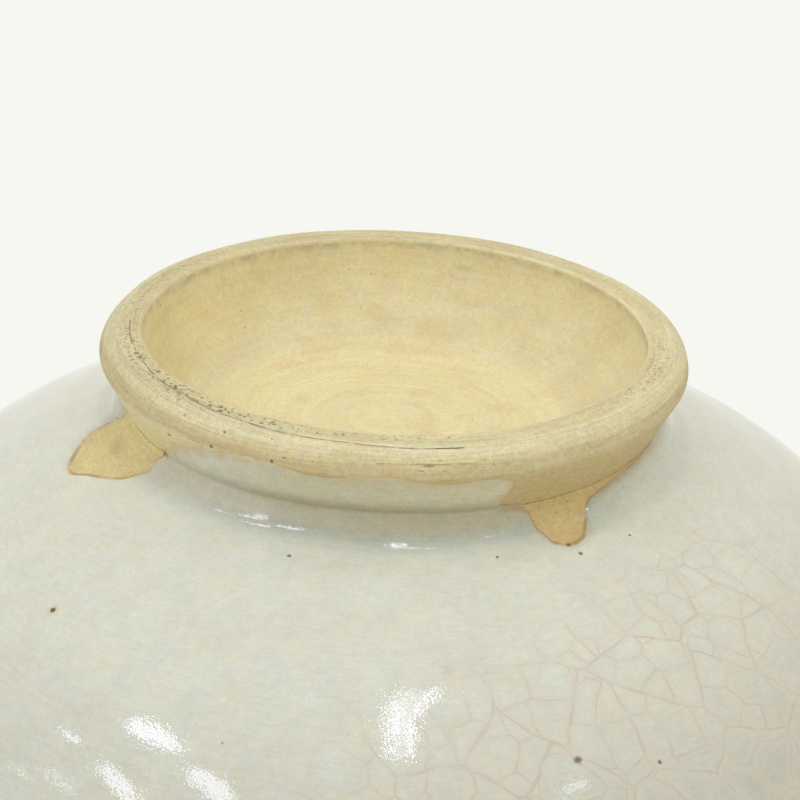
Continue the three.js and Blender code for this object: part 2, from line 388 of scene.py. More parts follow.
@dataclass(frozen=True)
class GlazeBorder:
    """The line where the outside glaze stops, as azimuth in degrees and reach in millimetres."""

    unroll_radius: float = 27.5
    step: float = 0.3
    waver: float = 0.05
    broad_share: float = 1.6  # how much stronger the broad waver is than the fine one
    fine_steps: int = 2
    broad_steps: int = 6
    seed: int = 7
    outline: tuple[tuple[float, float], ...] = (
        (-180, 0.15), (-160, 0.15), (-150, 0.25), (-143, 0.42),
        # bare mark of the right finger
        (-139.5, 0.6), (-137.3, 0.78), (-134.2, 1.11), (-132.6, 1.89), (-131.6, 2.83), (-129.1, 4.24),
        (-126.5, 4.72), (-124.8, 4.78), (-122.1, 3.93), (-121.1, 2.84), (-120.1, 2.35), (-119.3, 0.89),
        (-117.6, 0.04), (-115, -0.1), (-112.9, -0.2),
        # up the side of the foot
        (-113.2, -0.86), (-113.8, -2.08), (-114.0, -3.17), (-113.2, -3.9), (-110.7, -4.48),
        (-108.2, -4.86), (-101.7, -4.5), (-99.2, -4.7), (-96.8, -5.0), (-92.1, -5.2), (-90.1, -5.32),
        (-84.7, -5.23), (-76.8, -4.88), (-71.6, -5.21), (-67.9, -5.41), (-63.4, -5.61), (-59.4, -5.24),
        (-55.0, -4.6), (-50.4, -3.87), (-45.1, -2.82), (-42.1, -2.03), (-38.7, -1.13), (-36.5, -0.38),
        # bare mark of the left finger
        (-35.9, 0.03), (-34.7, 0.64), (-34.1, 1.25), (-34.4, 1.8), (-33.4, 2.32),
        (-31.1, 3.24), (-29.0, 4.36),
        (-25.2, 5.67), (-22.4, 6.5), (-20.2, 7.4), (-18.6, 8.0), (-17.2, 7.98), (-15.7, 7.7), (-13.0, 6.95),
        (-9.5, 5.99), (-6.4, 4.68), (-6.1, 3.7), (-6.5, 2.99), (-7.8, 2.34), (-9.3, 1.65), (-11.9, 0.83),
        (-11.6, 0.4), (-9.5, 0.12),
        (-4, 0.15), (60, 0.15), (120, 0.15), (180, 0.15),
    )

    def line(self) -> Array:
        """Returns the border unrolled flat in millimetres, with a fine waver along it."""
        knots = np.array(self.outline) * (math.radians(1) * self.unroll_radius, 1)
        steps = int(lengths_along(knots)[-1] / self.step)
        even = stretch(knots, steps)
        rng = np.random.default_rng(self.seed)
        fine, broad = rng.uniform(-1, 1, (2, steps + 1))
        fine = np.convolve(fine, np.ones(self.fine_steps) / self.fine_steps, "same")
        broad = np.convolve(broad, np.ones(self.broad_steps) / self.broad_steps, "same")
        waver = self.waver * (fine + self.broad_share * broad)
        waver[[0, -1]] = 0
        return even + outward(even) * waver[:, None]

    def distance(self, azimuth: Array, reach: Array) -> Array:
        """Measures the distance to the border on the unrolled skin.

        Args:
            azimuth: Azimuths in degrees.
            reach: Reaches, in the same shape.

        Returns:
            Millimetres to the border, positive where there is glaze.
        """
        line = self.line()
        turn = math.radians(360) * self.unroll_radius
        wrapped = (azimuth + 180) % 360 - 180
        spots = np.c_[np.radians(wrapped).ravel() * self.unroll_radius, reach.ravel()]
        starts, ends = line[:-1], line[1:]
        runs = ends - starts
        nearest = np.full(len(spots), np.inf)
        above = np.zeros(len(spots), int)
        for first, run in zip(starts, runs):
            offset = spots - first
            offset[:, 0] -= turn * np.round(offset[:, 0] / turn)
            share = np.clip(offset @ run / (run @ run), 0, 1)[:, None]
            nearest = np.minimum(nearest, np.hypot(*(offset - share * run).T))
            left, right = sorted((first[0], first[0] + run[0]))
            if right > left:
                inside = (spots[:, 0] >= left) & (spots[:, 0] < right)
                crossing = first[1] + run[1] * (spots[:, 0] - first[0]) / run[0]
                above += np.where(inside & (spots[:, 1] > crossing), 1, 0)
        return np.where(above % 2 == 1, nearest, -nearest).reshape(azimuth.shape)


@dataclass
class MeshParts:
    """Gathers points, faces and stored values, and makes one mesh of them."""

    points: list[Array] = field(default_factory=list)
    faces: list[list[int]] = field(default_factory=list)
    values: dict[str, list[Array]] = field(default_factory=dict)
    count: int = 0

    def add_points(self, points: Array, values: dict[str, Array | float]) -> Array:
        """Adds points.

        Args:
            points: Points in millimetres, in their last axis.
            values: Values to store under each name, in the same shape or in one that stretches to it.

        Returns:
            The points' numbers, in the same shape.
        """
        shape = points.shape[:-1]
        numbers = np.arange(self.count, self.count + math.prod(shape)).reshape(shape)
        self.points.append(points.reshape(-1, 3))
        for title, value in values.items():
            self.values.setdefault(title, []).append(np.broadcast_to(value, shape).ravel())
        self.count += numbers.size
        return numbers

    def add_grid(self, numbers: Array, keep: Array | None = None, flip: bool = False) -> None:
        """Adds the faces of a grid that closes on itself round the axis.

        Args:
            numbers: Point numbers, by column and row.
            keep: Which cells get a face, or None for all.
            flip: Whether the faces look the other way.
        """
        right = np.roll(numbers, -1, axis=0)
        quads = np.stack([numbers[:, :-1], right[:, :-1], right[:, 1:], numbers[:, 1:]], axis=-1)
        quads = quads.reshape(-1, 4) if keep is None else quads[keep]
        self.faces.extend((quads[:, ::-1] if flip else quads).tolist())

    def add_pole(self, ring: Array, pole: int, flip: bool = False) -> None:
        """Closes a ring of points with triangles that meet in one point."""
        for here, there in zip(ring, np.roll(ring, -1)):
            self.faces.append([int(there), int(here), pole] if flip else [int(here), int(there), pole])

    def build(self, name: str, sharp: float) -> bpy.types.Object:
        """Makes the object.

        Args:
            name: Its name.
            sharp: Angle in degrees from which an edge shows as a crease.

        Returns:
            The object, linked to the scene.
        """
        used = np.zeros(self.count, bool)
        used[np.fromiter((number for face in self.faces for number in face), int)] = True
        renumber = np.cumsum(used) - 1
        mesh = bpy.data.meshes.new(name)
        points = np.vstack(self.points)[used] * METRES
        mesh.from_pydata(points.tolist(), [], [[int(renumber[n]) for n in face] for face in self.faces])
        for title, values in self.values.items():
            stored = mesh.attributes.new(title, "FLOAT", "POINT")
            stored.data.foreach_set("value", np.concatenate(values)[used].astype(np.float32))
        mesh.shade_smooth()
        mesh.set_sharp_from_angle(angle=math.radians(sharp))
        mesh.validate()
        piece = bpy.data.objects.new(name, mesh)
        bpy.context.scene.collection.objects.link(piece)
        return piece


def turned(section: Array, azimuths: Array, lift: Array | float = 0.0) -> Array:
    """Turns a section round the axis.

    Args:
        section: Radius and height of its points.
        azimuths: Azimuth of each column in degrees.
        lift: How far each point stands out from the section.

    Returns:
        Points by column and row.
    """
    normal = outward(section)
    lift = np.broadcast_to(lift, (len(azimuths), len(section)))
    radius = section[:, 0] + normal[:, 0] * lift
    height = section[:, 1] + normal[:, 1] * lift
    angle = np.radians(azimuths)[:, None]
    return np.stack([radius * np.cos(angle), radius * np.sin(angle), height], axis=-1)


def around(columns: int) -> Array:
    """Returns even azimuths for one turn."""
    return np.arange(columns) * 360 / columns - 180


# Shader recipes

@dataclass(frozen=True)
class Fade:
    """A smooth change from low to high as a value goes from start to end."""

    start: float
    end: float
    low: float = 0.0
    high: float = 1.0


@dataclass(frozen=True)
class Zone:
    """A range of values that fades in from starts to full and out from fading to ends."""

    starts: float
    full: float
    fading: float
    ends: float


@dataclass(frozen=True)
class Patches:
    """Soft patches: noise of one size, faded into a mask."""

    size: float
    fade: Fade
    detail: float = 3.0
    roughness: float = 0.5


class Recipe:
    """Adds nodes to one tree and joins them."""

    def __init__(self, tree: bpy.types.NodeTree) -> None:
        """Works on a tree, which keeps the nodes that it has."""
        self.tree = tree

    def add(
        self, kind: str, inputs: dict[str | int, object] | None = None, **settings: object,
    ) -> bpy.types.Node:
        """Adds a node.

        Args:
            kind: Type of the node.
            inputs: What each input socket is joined to or set to.
            **settings: Properties of the node.

        Returns:
            The node.
        """
        node = self.tree.nodes.new(kind)
        for name, setting in settings.items():
            setattr(node, name, setting)
        for name, source in (inputs or {}).items():
            self.join(source, node.inputs[name])
        return node

    def join(self, source: object, target: Socket) -> None:
        """Links a socket to the target, or sets the target to a plain value.

        Args:
            source: A socket, a number, a colour or a vector.
            target: The input that takes it.
        """
        if isinstance(source, Socket):
            self.tree.links.new(source, target)
        elif target.type == "RGBA" and len(source) == 3:
            target.default_value = (*source, 1.0)
        else:
            target.default_value = source

    def math(self, operation: str, *values: object, clamp: bool = False) -> Socket:
        """Returns the result of one Math node."""
        inputs = dict(enumerate(values))
        return self.add("ShaderNodeMath", inputs, operation=operation, use_clamp=clamp).outputs[0]

    def times(self, *values: object) -> Socket:
        """Returns the product of two or more values."""
        return reduce(lambda product, value: self.math("MULTIPLY", product, value), values)

    def vector(self, operation: str, first: object, second: object) -> Socket:
        """Returns the result of one Vector Math node on two vectors."""
        return self.add("ShaderNodeVectorMath", {0: first, 1: second}, operation=operation).outputs[0]

    def ramp(self, value: Socket, start: object, end: object, low: float = 0.0, high: float = 1.0) -> Socket:
        """Returns low before start, high after end and a smooth change between them."""
        inputs = {"Value": value, "From Min": start, "From Max": end, "To Min": low, "To Max": high}
        return self.add("ShaderNodeMapRange", inputs, interpolation_type="SMOOTHSTEP").outputs[0]

    def fade(self, value: Socket, fade: Fade) -> Socket:
        """Returns a value's place in a fade."""
        return self.ramp(value, fade.start, fade.end, fade.low, fade.high)

    def within(self, value: Socket, zone: Zone) -> Socket:
        """Returns 1 where a value lies in a zone and 0 outside it."""
        return self.times(self.ramp(value, zone.starts, zone.full), self.ramp(value, zone.ends, zone.fading))

    def patches(self, where: Socket, patches: Patches) -> Socket:
        """Returns a mask of soft patches."""
        noise = self.noise(where, patches.size, patches.detail, patches.roughness)
        return self.fade(noise, patches.fade)

    def swing(self, value: Socket, amount: object) -> Socket:
        """Returns a factor round 1 from a value round 0.5."""
        return self.math("MULTIPLY_ADD", self.math("SUBTRACT", value, 0.5), amount, 1.0)

    def bump(self, height: Socket) -> Socket:
        """Returns the normals of a relief whose height is given in millimetres."""
        inputs = {"Height": height, "Distance": METRES, "Strength": 1.0}
        return self.add("ShaderNodeBump", inputs).outputs[0]

    def mix(self, share: object, first: object, second: object) -> Socket:
        """Returns a mix of two colours, given the share of the second."""
        node = self.add("ShaderNodeMix", data_type="RGBA", blend_type="MIX")
        for number, source in zip((0, 6, 7), (share, first, second)):
            self.join(source, node.inputs[number])
        return node.outputs[2]

    def noise(self, where: Socket, size: object, detail: float = 2.0, roughness: float = 0.5) -> Socket:
        """Returns noise between 0 and 1 whose features are about size millimetres wide."""
        scaled = self.vector("DIVIDE", where, self.evenly(size))
        inputs = {"Vector": scaled, "Scale": 1.0, "Detail": detail, "Roughness": roughness}
        return self.add("ShaderNodeTexNoise", inputs).outputs[0]

    def evenly(self, size: object) -> Socket:
        """Returns a vector with one value on all three axes."""
        return self.add("ShaderNodeCombineXYZ", {0: size, 1: size, 2: size}).outputs[0]

    def place(self) -> Socket:
        """Returns the place on the object in millimetres."""
        spot = self.add("ShaderNodeTexCoord").outputs["Object"]
        return self.vector("MULTIPLY", spot, (1 / METRES,) * 3)

    def mark(self, title: str) -> Socket:
        """Returns a value stored on the mesh."""
        return self.add("ShaderNodeAttribute", attribute_name=title).outputs["Fac"]

    def shade(self, colour: object, factor: Socket) -> Socket:
        """Returns a colour made lighter or darker by a factor."""
        return self.vector("MULTIPLY", colour, self.evenly(factor))

    def tint(self, colour: object, share: Socket, low: Colour, high: Colour) -> Socket:
        """Returns a colour multiplied by a tint that runs from low to high."""
        return self.vector("MULTIPLY", colour, self.mix(share, low, high))

    def bands(self, value: Socket, stops: tuple[tuple[float, Colour], ...]) -> Socket:
        """Makes a colour that changes as a value rises.

        Args:
            value: The value.
            stops: Values and their colours, in rising order.

        Returns:
            The colour, which runs smoothly from stop to stop.
        """
        low, high = stops[0][0], stops[-1][0]
        inputs = {"Value": value, "From Min": low, "From Max": high}
        share = self.add("ShaderNodeMapRange", inputs).outputs[0]
        node = self.add("ShaderNodeValToRGB", {0: share})
        marks = node.color_ramp.elements
        for place, colour in stops[1:-1]:
            marks.new((place - low) / (high - low)).color = (*colour, 1.0)
        marks[0].color, marks[-1].color = (*stops[0][1], 1.0), (*stops[-1][1], 1.0)
        return node.outputs[0]

    def radius(self, where: Socket) -> Socket:
        """Returns the distance from the bowl's axis."""
        level = self.vector("MULTIPLY", where, (1.0, 1.0, 0.0))
        return self.add("ShaderNodeVectorMath", {0: level}, operation="LENGTH").outputs["Value"]

    def use(self, group: bpy.types.NodeTree, **inputs: object) -> bpy.types.Node:
        """Places a node group, with inputs named in lower case with underscores."""
        node = self.add("ShaderNodeGroup", node_tree=group)
        for name, source in inputs.items():
            self.join(source, node.inputs[name.replace("_", " ").title()])
        return node


def new_group(
    name: str, inputs: dict[str, object], outputs: list[str],
) -> tuple[Recipe, bpy.types.Node, bpy.types.Node]:
    """Starts a shader node group.

    Args:
        name: Its name.
        inputs: Its inputs and their defaults. A tuple makes a vector socket.
        outputs: Its outputs, all plain values.

    Returns:
        A recipe for its tree, its input node and its output node.
    """
    tree = bpy.data.node_groups.new(name, "ShaderNodeTree")
    for title, default in inputs.items():
        kind = "NodeSocketVector" if isinstance(default, tuple) else "NodeSocketFloat"
        tree.interface.new_socket(name=title, in_out="INPUT", socket_type=kind).default_value = default
    for title in outputs:
        tree.interface.new_socket(name=title, in_out="OUTPUT", socket_type="NodeSocketFloat")
    recipe = Recipe(tree)
    return recipe, recipe.add("NodeGroupInput"), recipe.add("NodeGroupOutput")


@cache
def turning_lines() -> bpy.types.NodeTree:
    """Returns the group for the fine lines that a turning tool leaves round the axis."""
    made, given, result = new_group(
        "turning_lines", {"Spacing": 0.4, "Run": 12.0, "Drift": 0.3, "Seed": 0.0}, ["Lines"],
    )
    where = made.place()
    drift = made.math("MULTIPLY", made.noise(where, given.outputs["Run"], 1), given.outputs["Drift"])
    along = made.math("ADD", made.mark(Mark.ALONG), drift)
    parts = made.add("ShaderNodeSeparateXYZ", {0: where})
    across = made.add("ShaderNodeCombineXYZ", {
        0: made.math("DIVIDE", parts.outputs[0], given.outputs["Run"]),
        1: made.math("DIVIDE", parts.outputs[1], given.outputs["Run"]),
        2: made.math("ADD", made.math("DIVIDE", along, given.outputs["Spacing"]), given.outputs["Seed"]),
    })
    lines = made.add("ShaderNodeTexNoise", {"Vector": across.outputs[0], "Scale": 1.0, "Detail": 2.0})
    made.join(lines.outputs[0], result.inputs["Lines"])
    return made.tree


@cache
def crackle() -> bpy.types.NodeTree:
    """Returns the group for cracks in a glaze: long ones, and shorter ones that end at them."""
    bend, bend_scale = 1.9, 0.22  # how far the cracks wander, and how quickly
    long_share, long_spread = 1.5, 0.9  # size of the long cells and how uneven they are
    short_strength, short_spread = 0.75, 0.72
    drawn_out = (1.5, 1.0, 1.0)  # how much longer the cells are along their lean
    plate_shift = (40.0, 40.0, 0.0)  # sets the small cells of two plates apart
    inputs = {
        "Across": 0.0, "Outwards": 0.0, "Cell Size": 3.5, "Line Width": 0.15, "Halo Width": 0.5, "Lean": 0.0,
    }
    made, given, result = new_group("crackle", inputs, ["Lines", "Halo"])
    size = given.outputs["Cell Size"]
    parts = {0: given.outputs["Across"], 1: given.outputs["Outwards"]}
    flat = made.add("ShaderNodeCombineXYZ", parts).outputs[0]
    slow = made.add("ShaderNodeTexNoise", {"Vector": flat, "Scale": bend_scale, "Detail": 2.0})
    wander = made.vector("SUBTRACT", slow.outputs["Color"], (0.5,) * 3)
    flat = made.vector("ADD", flat, made.vector("MULTIPLY", wander, (bend,) * 3))
    turn = made.add("ShaderNodeCombineXYZ", {2: given.outputs["Lean"]}).outputs[0]
    leaning = {"Vector": flat, "Rotation": turn, "Scale": drawn_out}
    laid = made.add("ShaderNodeMapping", leaning, vector_type="TEXTURE").outputs[0]
    long_size = made.times(size, long_share)
    laid = made.vector("DIVIDE", laid, made.evenly(long_size))
    plates = made.add("ShaderNodeTexVoronoi", {"Vector": laid, "Scale": 1.0, "Randomness": long_spread},
                      voronoi_dimensions="2D")
    own = made.vector("MULTIPLY", plates.outputs["Color"], plate_shift)
    small = made.vector("ADD", made.vector("DIVIDE", flat, made.evenly(size)), own)
    away = []
    for place, cell, spread in ((laid, long_size, long_spread), (small, size, short_spread)):
        edges = made.add("ShaderNodeTexVoronoi", {"Vector": place, "Scale": 1.0, "Randomness": spread},
                         voronoi_dimensions="2D", feature="DISTANCE_TO_EDGE")
        away.append(made.times(edges.outputs["Distance"], cell))
    for title, width in (("Lines", "Line Width"), ("Halo", "Halo Width")):
        long_lines, short_lines = (made.ramp(distance, given.outputs[width], 0.0) for distance in away)
        both = made.math("MAXIMUM", long_lines, made.times(short_lines, short_strength))
        made.join(both, result.inputs[title])
    return made.tree


@cache
def specks() -> bpy.types.NodeTree:
    """Returns the group for scattered round specks of uneven size."""
    smallest, largest, core = 0.5, 1.3, 0.4  # shares of the radius
    made, given, result = new_group("specks", {"Spacing": 1.0, "Radius": 0.1, "Share": 0.5}, ["Mask"])
    scaled = made.vector("DIVIDE", made.place(), made.evenly(given.outputs["Spacing"]))
    cells = made.add("ShaderNodeTexVoronoi", {"Vector": scaled, "Scale": 1.0})
    away = made.times(cells.outputs["Distance"], given.outputs["Spacing"])
    chance = made.add("ShaderNodeSeparateColor", {0: cells.outputs["Color"]})
    radius = made.times(given.outputs["Radius"], made.ramp(chance.outputs[0], 0.0, 1.0, smallest, largest))
    dot = made.ramp(away, radius, made.times(radius, core))
    chosen = made.math("LESS_THAN", chance.outputs[1], given.outputs["Share"])
    made.join(made.times(dot, chosen), result.inputs["Mask"])
    return made.tree


@cache
def placed_spot() -> bpy.types.NodeTree:
    """Returns the group for one uneven spot at a given place, stretched along a direction."""
    inputs = {
        "Centre": (0.0, 0.0, 0.0), "Along": (1.0, 0.0, 0.0), "Stretch": 1.0, "Radius": 0.5, "Softness": 0.4,
        "Unevenness": 0.2,
    }
    notch, bulges = 0.7, Fade(0.25, 0.75, -1.0)  # size of a bulge in its rim, in radii
    made, given, result = new_group("placed_spot", inputs, ["Mask"])
    where = made.place()
    offset = made.vector("SUBTRACT", where, given.outputs["Centre"])
    inputs = {0: offset, 1: given.outputs["Along"]}
    lengthwise = made.add("ShaderNodeVectorMath", inputs, operation="DOT_PRODUCT").outputs["Value"]
    whole = made.add("ShaderNodeVectorMath", {0: offset}, operation="LENGTH").outputs["Value"]
    sideways = made.math("SUBTRACT", made.math("POWER", whole, 2.0), made.math("POWER", lengthwise, 2.0))
    squeezed = made.math("POWER", made.math("DIVIDE", lengthwise, given.outputs["Stretch"]), 2.0)
    away = made.math("SQRT", made.math("MAXIMUM", made.math("ADD", sideways, squeezed), 0.0))
    ragged = made.fade(made.noise(where, made.times(given.outputs["Radius"], notch)), bulges)
    swell = made.math("MULTIPLY_ADD", ragged, given.outputs["Unevenness"], 1.0)
    rim = made.times(given.outputs["Radius"], swell)
    core = made.times(rim, made.math("SUBTRACT", 1.0, given.outputs["Softness"]))
    made.join(made.ramp(away, rim, core), result.inputs["Mask"])
    return made.tree


@cache
def hairline() -> bpy.types.NodeTree:
    """Returns the group for a fine broken line, drawn where a distance is near 0."""
    stroke, gap_edge = 1.2, 0.25  # length of an unbroken stroke, and how softly it ends
    bend_length, bend = 0.8, 0.06  # how the line wanders, in millimetres
    made, given, result = new_group("hairline", {"Distance": 1.0, "Width": 0.1, "Gaps": 0.5}, ["Mask"])
    where, gaps = made.place(), given.outputs["Gaps"]
    strength = made.ramp(made.noise(where, stroke, 3), gaps, made.math("ADD", gaps, gap_edge))
    waver = made.math("MULTIPLY_ADD", made.noise(where, bend_length), 2 * bend, -bend)
    away = made.math("ABSOLUTE", made.math("ADD", given.outputs["Distance"], waver))
    made.join(made.times(made.ramp(away, given.outputs["Width"], 0.0), strength), result.inputs["Mask"])
    return made.tree


@dataclass(frozen=True)
class FineLine:
    """A fine line round the ring, stored on its mesh as the distance to it."""

    name: str
    points: tuple[tuple[float, float], ...]  # azimuth in degrees and mm along the section
    width: float
    strength: float
    gaps: float = 0.34
    tone: Colour = (0.20, 0.15, 0.07)
    depth: float = 0.05
    far: float = 3.0  # added to what is stored, so that a mesh without the value shows no line

    def stored(self, azimuth: Array, along: Array) -> Array:
        """Measures from the line.

        Args:
            azimuth: Azimuths in degrees.
            along: Distances along the section.

        Returns:
            The distance to the line for each point, counted from far.
        """
        run = np.array(sorted(self.points))
        middle = np.interp(azimuth, run[:, 0], run[:, 1])
        offset = along - middle
        past_ends = (azimuth < run[0, 0]) | (azimuth > run[-1, 0])
        offset = np.where(past_ends, np.sign(offset) * self.far, offset)
        return np.clip(offset + self.far, 0, 2 * self.far)

    def mask(self, recipe: Recipe) -> Socket:
        """Returns where the line shows."""
        distance = recipe.math("SUBTRACT", recipe.mark(self.name), self.far)
        return recipe.use(hairline(), distance=distance, width=self.width, gaps=self.gaps).outputs[0]


@dataclass(frozen=True)
class Spot:
    """One spot at a place, longer round the bowl by its stretch."""

    place: Place
    radius: float
    colour: Colour
    strength: float = 1.0
    softness: float = 0.5
    stretch: float = 1.0

    def mask(self, recipe: Recipe) -> Socket:
        """Places the spot.

        Args:
            recipe: The material's recipe.

        Returns:
            How strongly the spot shows.
        """
        x, y, _ = self.place
        around_axis = tuple(Vector((-y, x, 0.0)).normalized())
        spot = recipe.use(placed_spot(), centre=self.place, along=around_axis, stretch=self.stretch,
                          radius=self.radius, softness=self.softness)
        return recipe.times(spot.outputs[0], self.strength)


def new_material(name: str) -> tuple[bpy.types.Material, Recipe, bpy.types.Node]:
    """Returns a new material, a recipe for it and its Principled node."""
    material = bpy.data.materials.new(name)
    material.use_nodes = True
    recipe = Recipe(material.node_tree)
    return material, recipe, material.node_tree.nodes["Principled BSDF"]


def paint_spots(recipe: Recipe, colour: Socket, spots: list[Spot]) -> Socket:
    """Returns a colour with spots painted over it, each over the ones before it."""
    for spot in spots:
        colour = recipe.mix(spot.mask(recipe), colour, spot.colour)
    return colour


@dataclass(frozen=True)
class ClayFinish:
    """Unglazed buff clay, turned on the wheel, worn on the resting face, with some painted light and shade.
    """

    name: str
    spots: list[Spot]
    lines: list[FineLine]
    pale: Colour = (0.82, 0.74, 0.445)
    tan: Colour = (0.72, 0.61, 0.345)
    floor: Colour = (0.89, 0.79, 0.455)
    band_tan: Colour = (0.66, 0.565, 0.32)
    wall_tan: Colour = (0.67, 0.565, 0.32)
    mark_tan: Colour = (0.72, 0.60, 0.30)
    orange: Colour = (0.68, 0.44, 0.20)
    burnt: Colour = (0.42, 0.27, 0.11)
    # bevel: colour of a painted highlight along the recess's bevelled edge
    bevel: Colour = (0.93, 0.85, 0.57)
    dirt: Colour = (0.22, 0.16, 0.08)
    greenish: Colour = (0.985, 1.0, 0.965)
    pinkish: Colour = (1.015, 0.99, 1.0)
    yellowish: Colour = (1.0, 1.0, 0.92)
    bluish: Colour = (1.0, 1.0, 1.08)
    browner: Colour = (0.655, 0.62, 0.50)
    paler: Colour = (1.22, 1.21, 1.18)
    blush: Colour = (0.80, 0.62, 0.33)
    light_band: Colour = (0.84, 0.78, 0.515)
    # painted shade in a band just under the recess's edge
    shade_under_rim: Colour = (0.60, 0.54, 0.35)
    brown: Colour = (0.40, 0.30, 0.14)
    golden: Colour = (0.985, 0.96, 0.86)
    # painted shade on the ring's top at its left and back
    ring_top_shade: Colour = (0.93, 0.92, 0.92)
    sunlit: Colour = (1.30, 1.37, 1.42)
    darker_browner_right: Colour = (0.97, 0.92, 0.85)
    roughness: float = 0.86
    # zones, in mm along the section from the recess's edge
    ring: Zone = Zone(-0.4, 0.3, 5.2, 6.5)
    ring_top: Zone = Zone(-0.4, 0.2, 5.4, 6.2)
    recess_wall: Zone = Zone(-9.5, -7.0, -2.5, -0.8)
    recess_rim: Zone = Zone(-1.5, -0.4, -0.35, -0.2)
    pale_zone: Zone = Zone(2.0, 2.6, 3.4, 4.3)
    floor_banding: Fade = Fade(-10.0, -13.0)
    floor_colour: Fade = Fade(-10.4, -13.4)
    blushing: Fade = Fade(-0.2, -1.5)
    grainy_below: Fade = Fade(5.6, 6.4, high=0.9)
    lined_below: Fade = Fade(5.6, 6.4, high=0.2)
    band_below: Fade = Fade(3.9, 4.9, high=0.75)
    wall_below: Fade = Fade(5.6, 6.3, high=0.8)
    marks_below: Fade = Fade(ROOT_ALONG - 0.4, ROOT_ALONG + 0.2)
    side_starts: Fade = Fade(5.4, 6.2)
    side_ends: Fade = Fade(ROOT_ALONG - 0.5, ROOT_ALONG + 0.5, 1.0, 0.3)
    right_starts: Fade = Fade(5.2, 7.0)
    edge_at_root: Fade = Fade(ROOT_ALONG - 0.5, ROOT_ALONG, 0.35)
    rim_highlight_width: Fade = Fade(0.26, 0.05)
    # places across the bowl, in mm towards the photo's left or the back
    ring_left: Fade = Fade(14.0, 25.0)
    ring_back: Fade = Fade(10.0, 24.0)
    recess_left: Fade = Fade(9.0, 20.0)
    side_left: Fade = Fade(8.0, 22.0)
    side_right: Fade = Fade(-5.0, -15.0)
    rim_highlight_right: Fade = Fade(4.0, -12.0, 0.4)
    # distances to the glaze's border, in mm
    halo_width: Fade = Fade(-1.7, -0.1)
    burnt_width: Fade = Fade(-0.17, 0.0)
    # soft patches
    clouds: Patches = Patches(7.0, Fade(0.38, 0.7, high=0.6), 4.0, 0.6)
    shade_under_rim_patches: Patches = Patches(1.4, Fade(0.36, 0.62, 0.15), 4.0, 0.65)
    blush_patches: Patches = Patches(5.0, Fade(0.46, 0.7), roughness=0.6)
    blotches: Patches = Patches(1.7, Fade(0.36, 0.64), roughness=0.6)
    sand: Patches = Patches(0.9, Fade(0.36, 0.64), roughness=0.6)
    hair_patches: Patches = Patches(4.0, Fade(0.4, 0.6, 0.2))
    rim_highlight_patches: Patches = Patches(1.5, Fade(0.3, 0.55, 0.25, 0.8))
    halo_patches: Patches = Patches(2.0, Fade(0.36, 0.66))
    unbroken: Patches = Patches(1.4, Fade(0.36, 0.6, 0.3))
    # how strongly each shows
    blush_strength: float = 0.5
    pale_strength: float = 0.6
    hair_strength: float = 0.3
    worn_strength: float = 0.45
    hollow_strength: float = 0.9
    pore_strength: float = 0.55
    halo_strength: float = 0.38
    burnt_strength: float = 0.7
    banding: tuple[float, float, float] = (0.12, 0.1, 0.28)  # all over, more on the floor, more on the ring
    # values of the turning lines or of a noise
    streak_tones: Fade = Fade(0.3, 0.7)
    hair_lines: Fade = Fade(0.56, 0.7)
    worn_lines: Fade = Fade(0.54, 0.66)
    grain_range: tuple[float, float] = (0.2, 0.8)
    roughness_spread: float = 0.08
    # relief, in mm
    line_relief: float = 0.012
    ring_line_relief: float = 0.04
    grain_relief: float = 0.03
    hollow_depth: float = 0.05

    def material(self) -> bpy.types.Material:
        """Returns the finished material."""
        material, made, shader = new_material(self.name)
        where, along, border = made.place(), made.mark(Mark.ALONG), made.mark(Mark.BORDER)
        fine = made.use(turning_lines(), spacing=0.2, run=7.0, drift=0.5).outputs[0]
        broad = made.use(turning_lines(), spacing=0.9, run=12.0, drift=1.0, seed=40.0).outputs[0]
        short = made.use(turning_lines(), spacing=0.19, run=1.3, drift=0.3, seed=80.0).outputs[0]
        grain = made.noise(where, size=0.24, detail=2.0, roughness=0.7)
        speckle = made.noise(where, size=0.6, detail=2.0, roughness=0.6)
        on_ring = made.within(along, self.ring)

        colour = self.ground(made, where, along)
        coarse = made.math("MAXIMUM", on_ring, made.fade(along, self.grainy_below))
        lined = made.math("MAXIMUM", on_ring, made.fade(along, self.lined_below))
        streaks = (  # value, how strong all over, how much stronger in its share, share
            (grain, 0.17, 0.08, coarse), (speckle, 0.12, 0.1, coarse), (fine, 0.04, 0.26, lined),
            (short, 0.0, 0.05, lined),
        )
        for value, amount, extra, share in streaks:
            colour = self.streak(made, colour, value, made.math("MULTIPLY_ADD", share, extra, amount))
        plain, on_floor, more_on_ring = self.banding
        banding = made.math("MULTIPLY_ADD", made.fade(along, self.floor_banding), on_floor, plain)
        banding = made.math("MULTIPLY_ADD", on_ring, more_on_ring, banding)
        colour = made.shade(colour, made.swing(broad, banding))
        hair = made.times(on_ring, made.patches(where, self.hair_patches))
        hair = made.times(made.fade(fine, self.hair_lines), hair, self.hair_strength)
        colour = made.mix(hair, colour, self.brown)
        worn = made.math("MULTIPLY", made.fade(short, self.worn_lines), made.mark(Mark.PITTED), clamp=True)
        colour = made.mix(made.times(worn, self.worn_strength), colour, self.dirt)
        # painted highlight along the recess's bevelled edge, stronger towards the right, in patches
        side = made.add("ShaderNodeSeparateXYZ", {0: where}).outputs[0]
        rim = made.fade(made.math("ABSOLUTE", along), self.rim_highlight_width)
        rim = made.times(rim, made.fade(side, self.rim_highlight_right), made.patches(where, self.rim_highlight_patches))
        colour = made.mix(rim, colour, self.bevel)
        colour = self.by_the_glaze(made, colour, where, along, border)

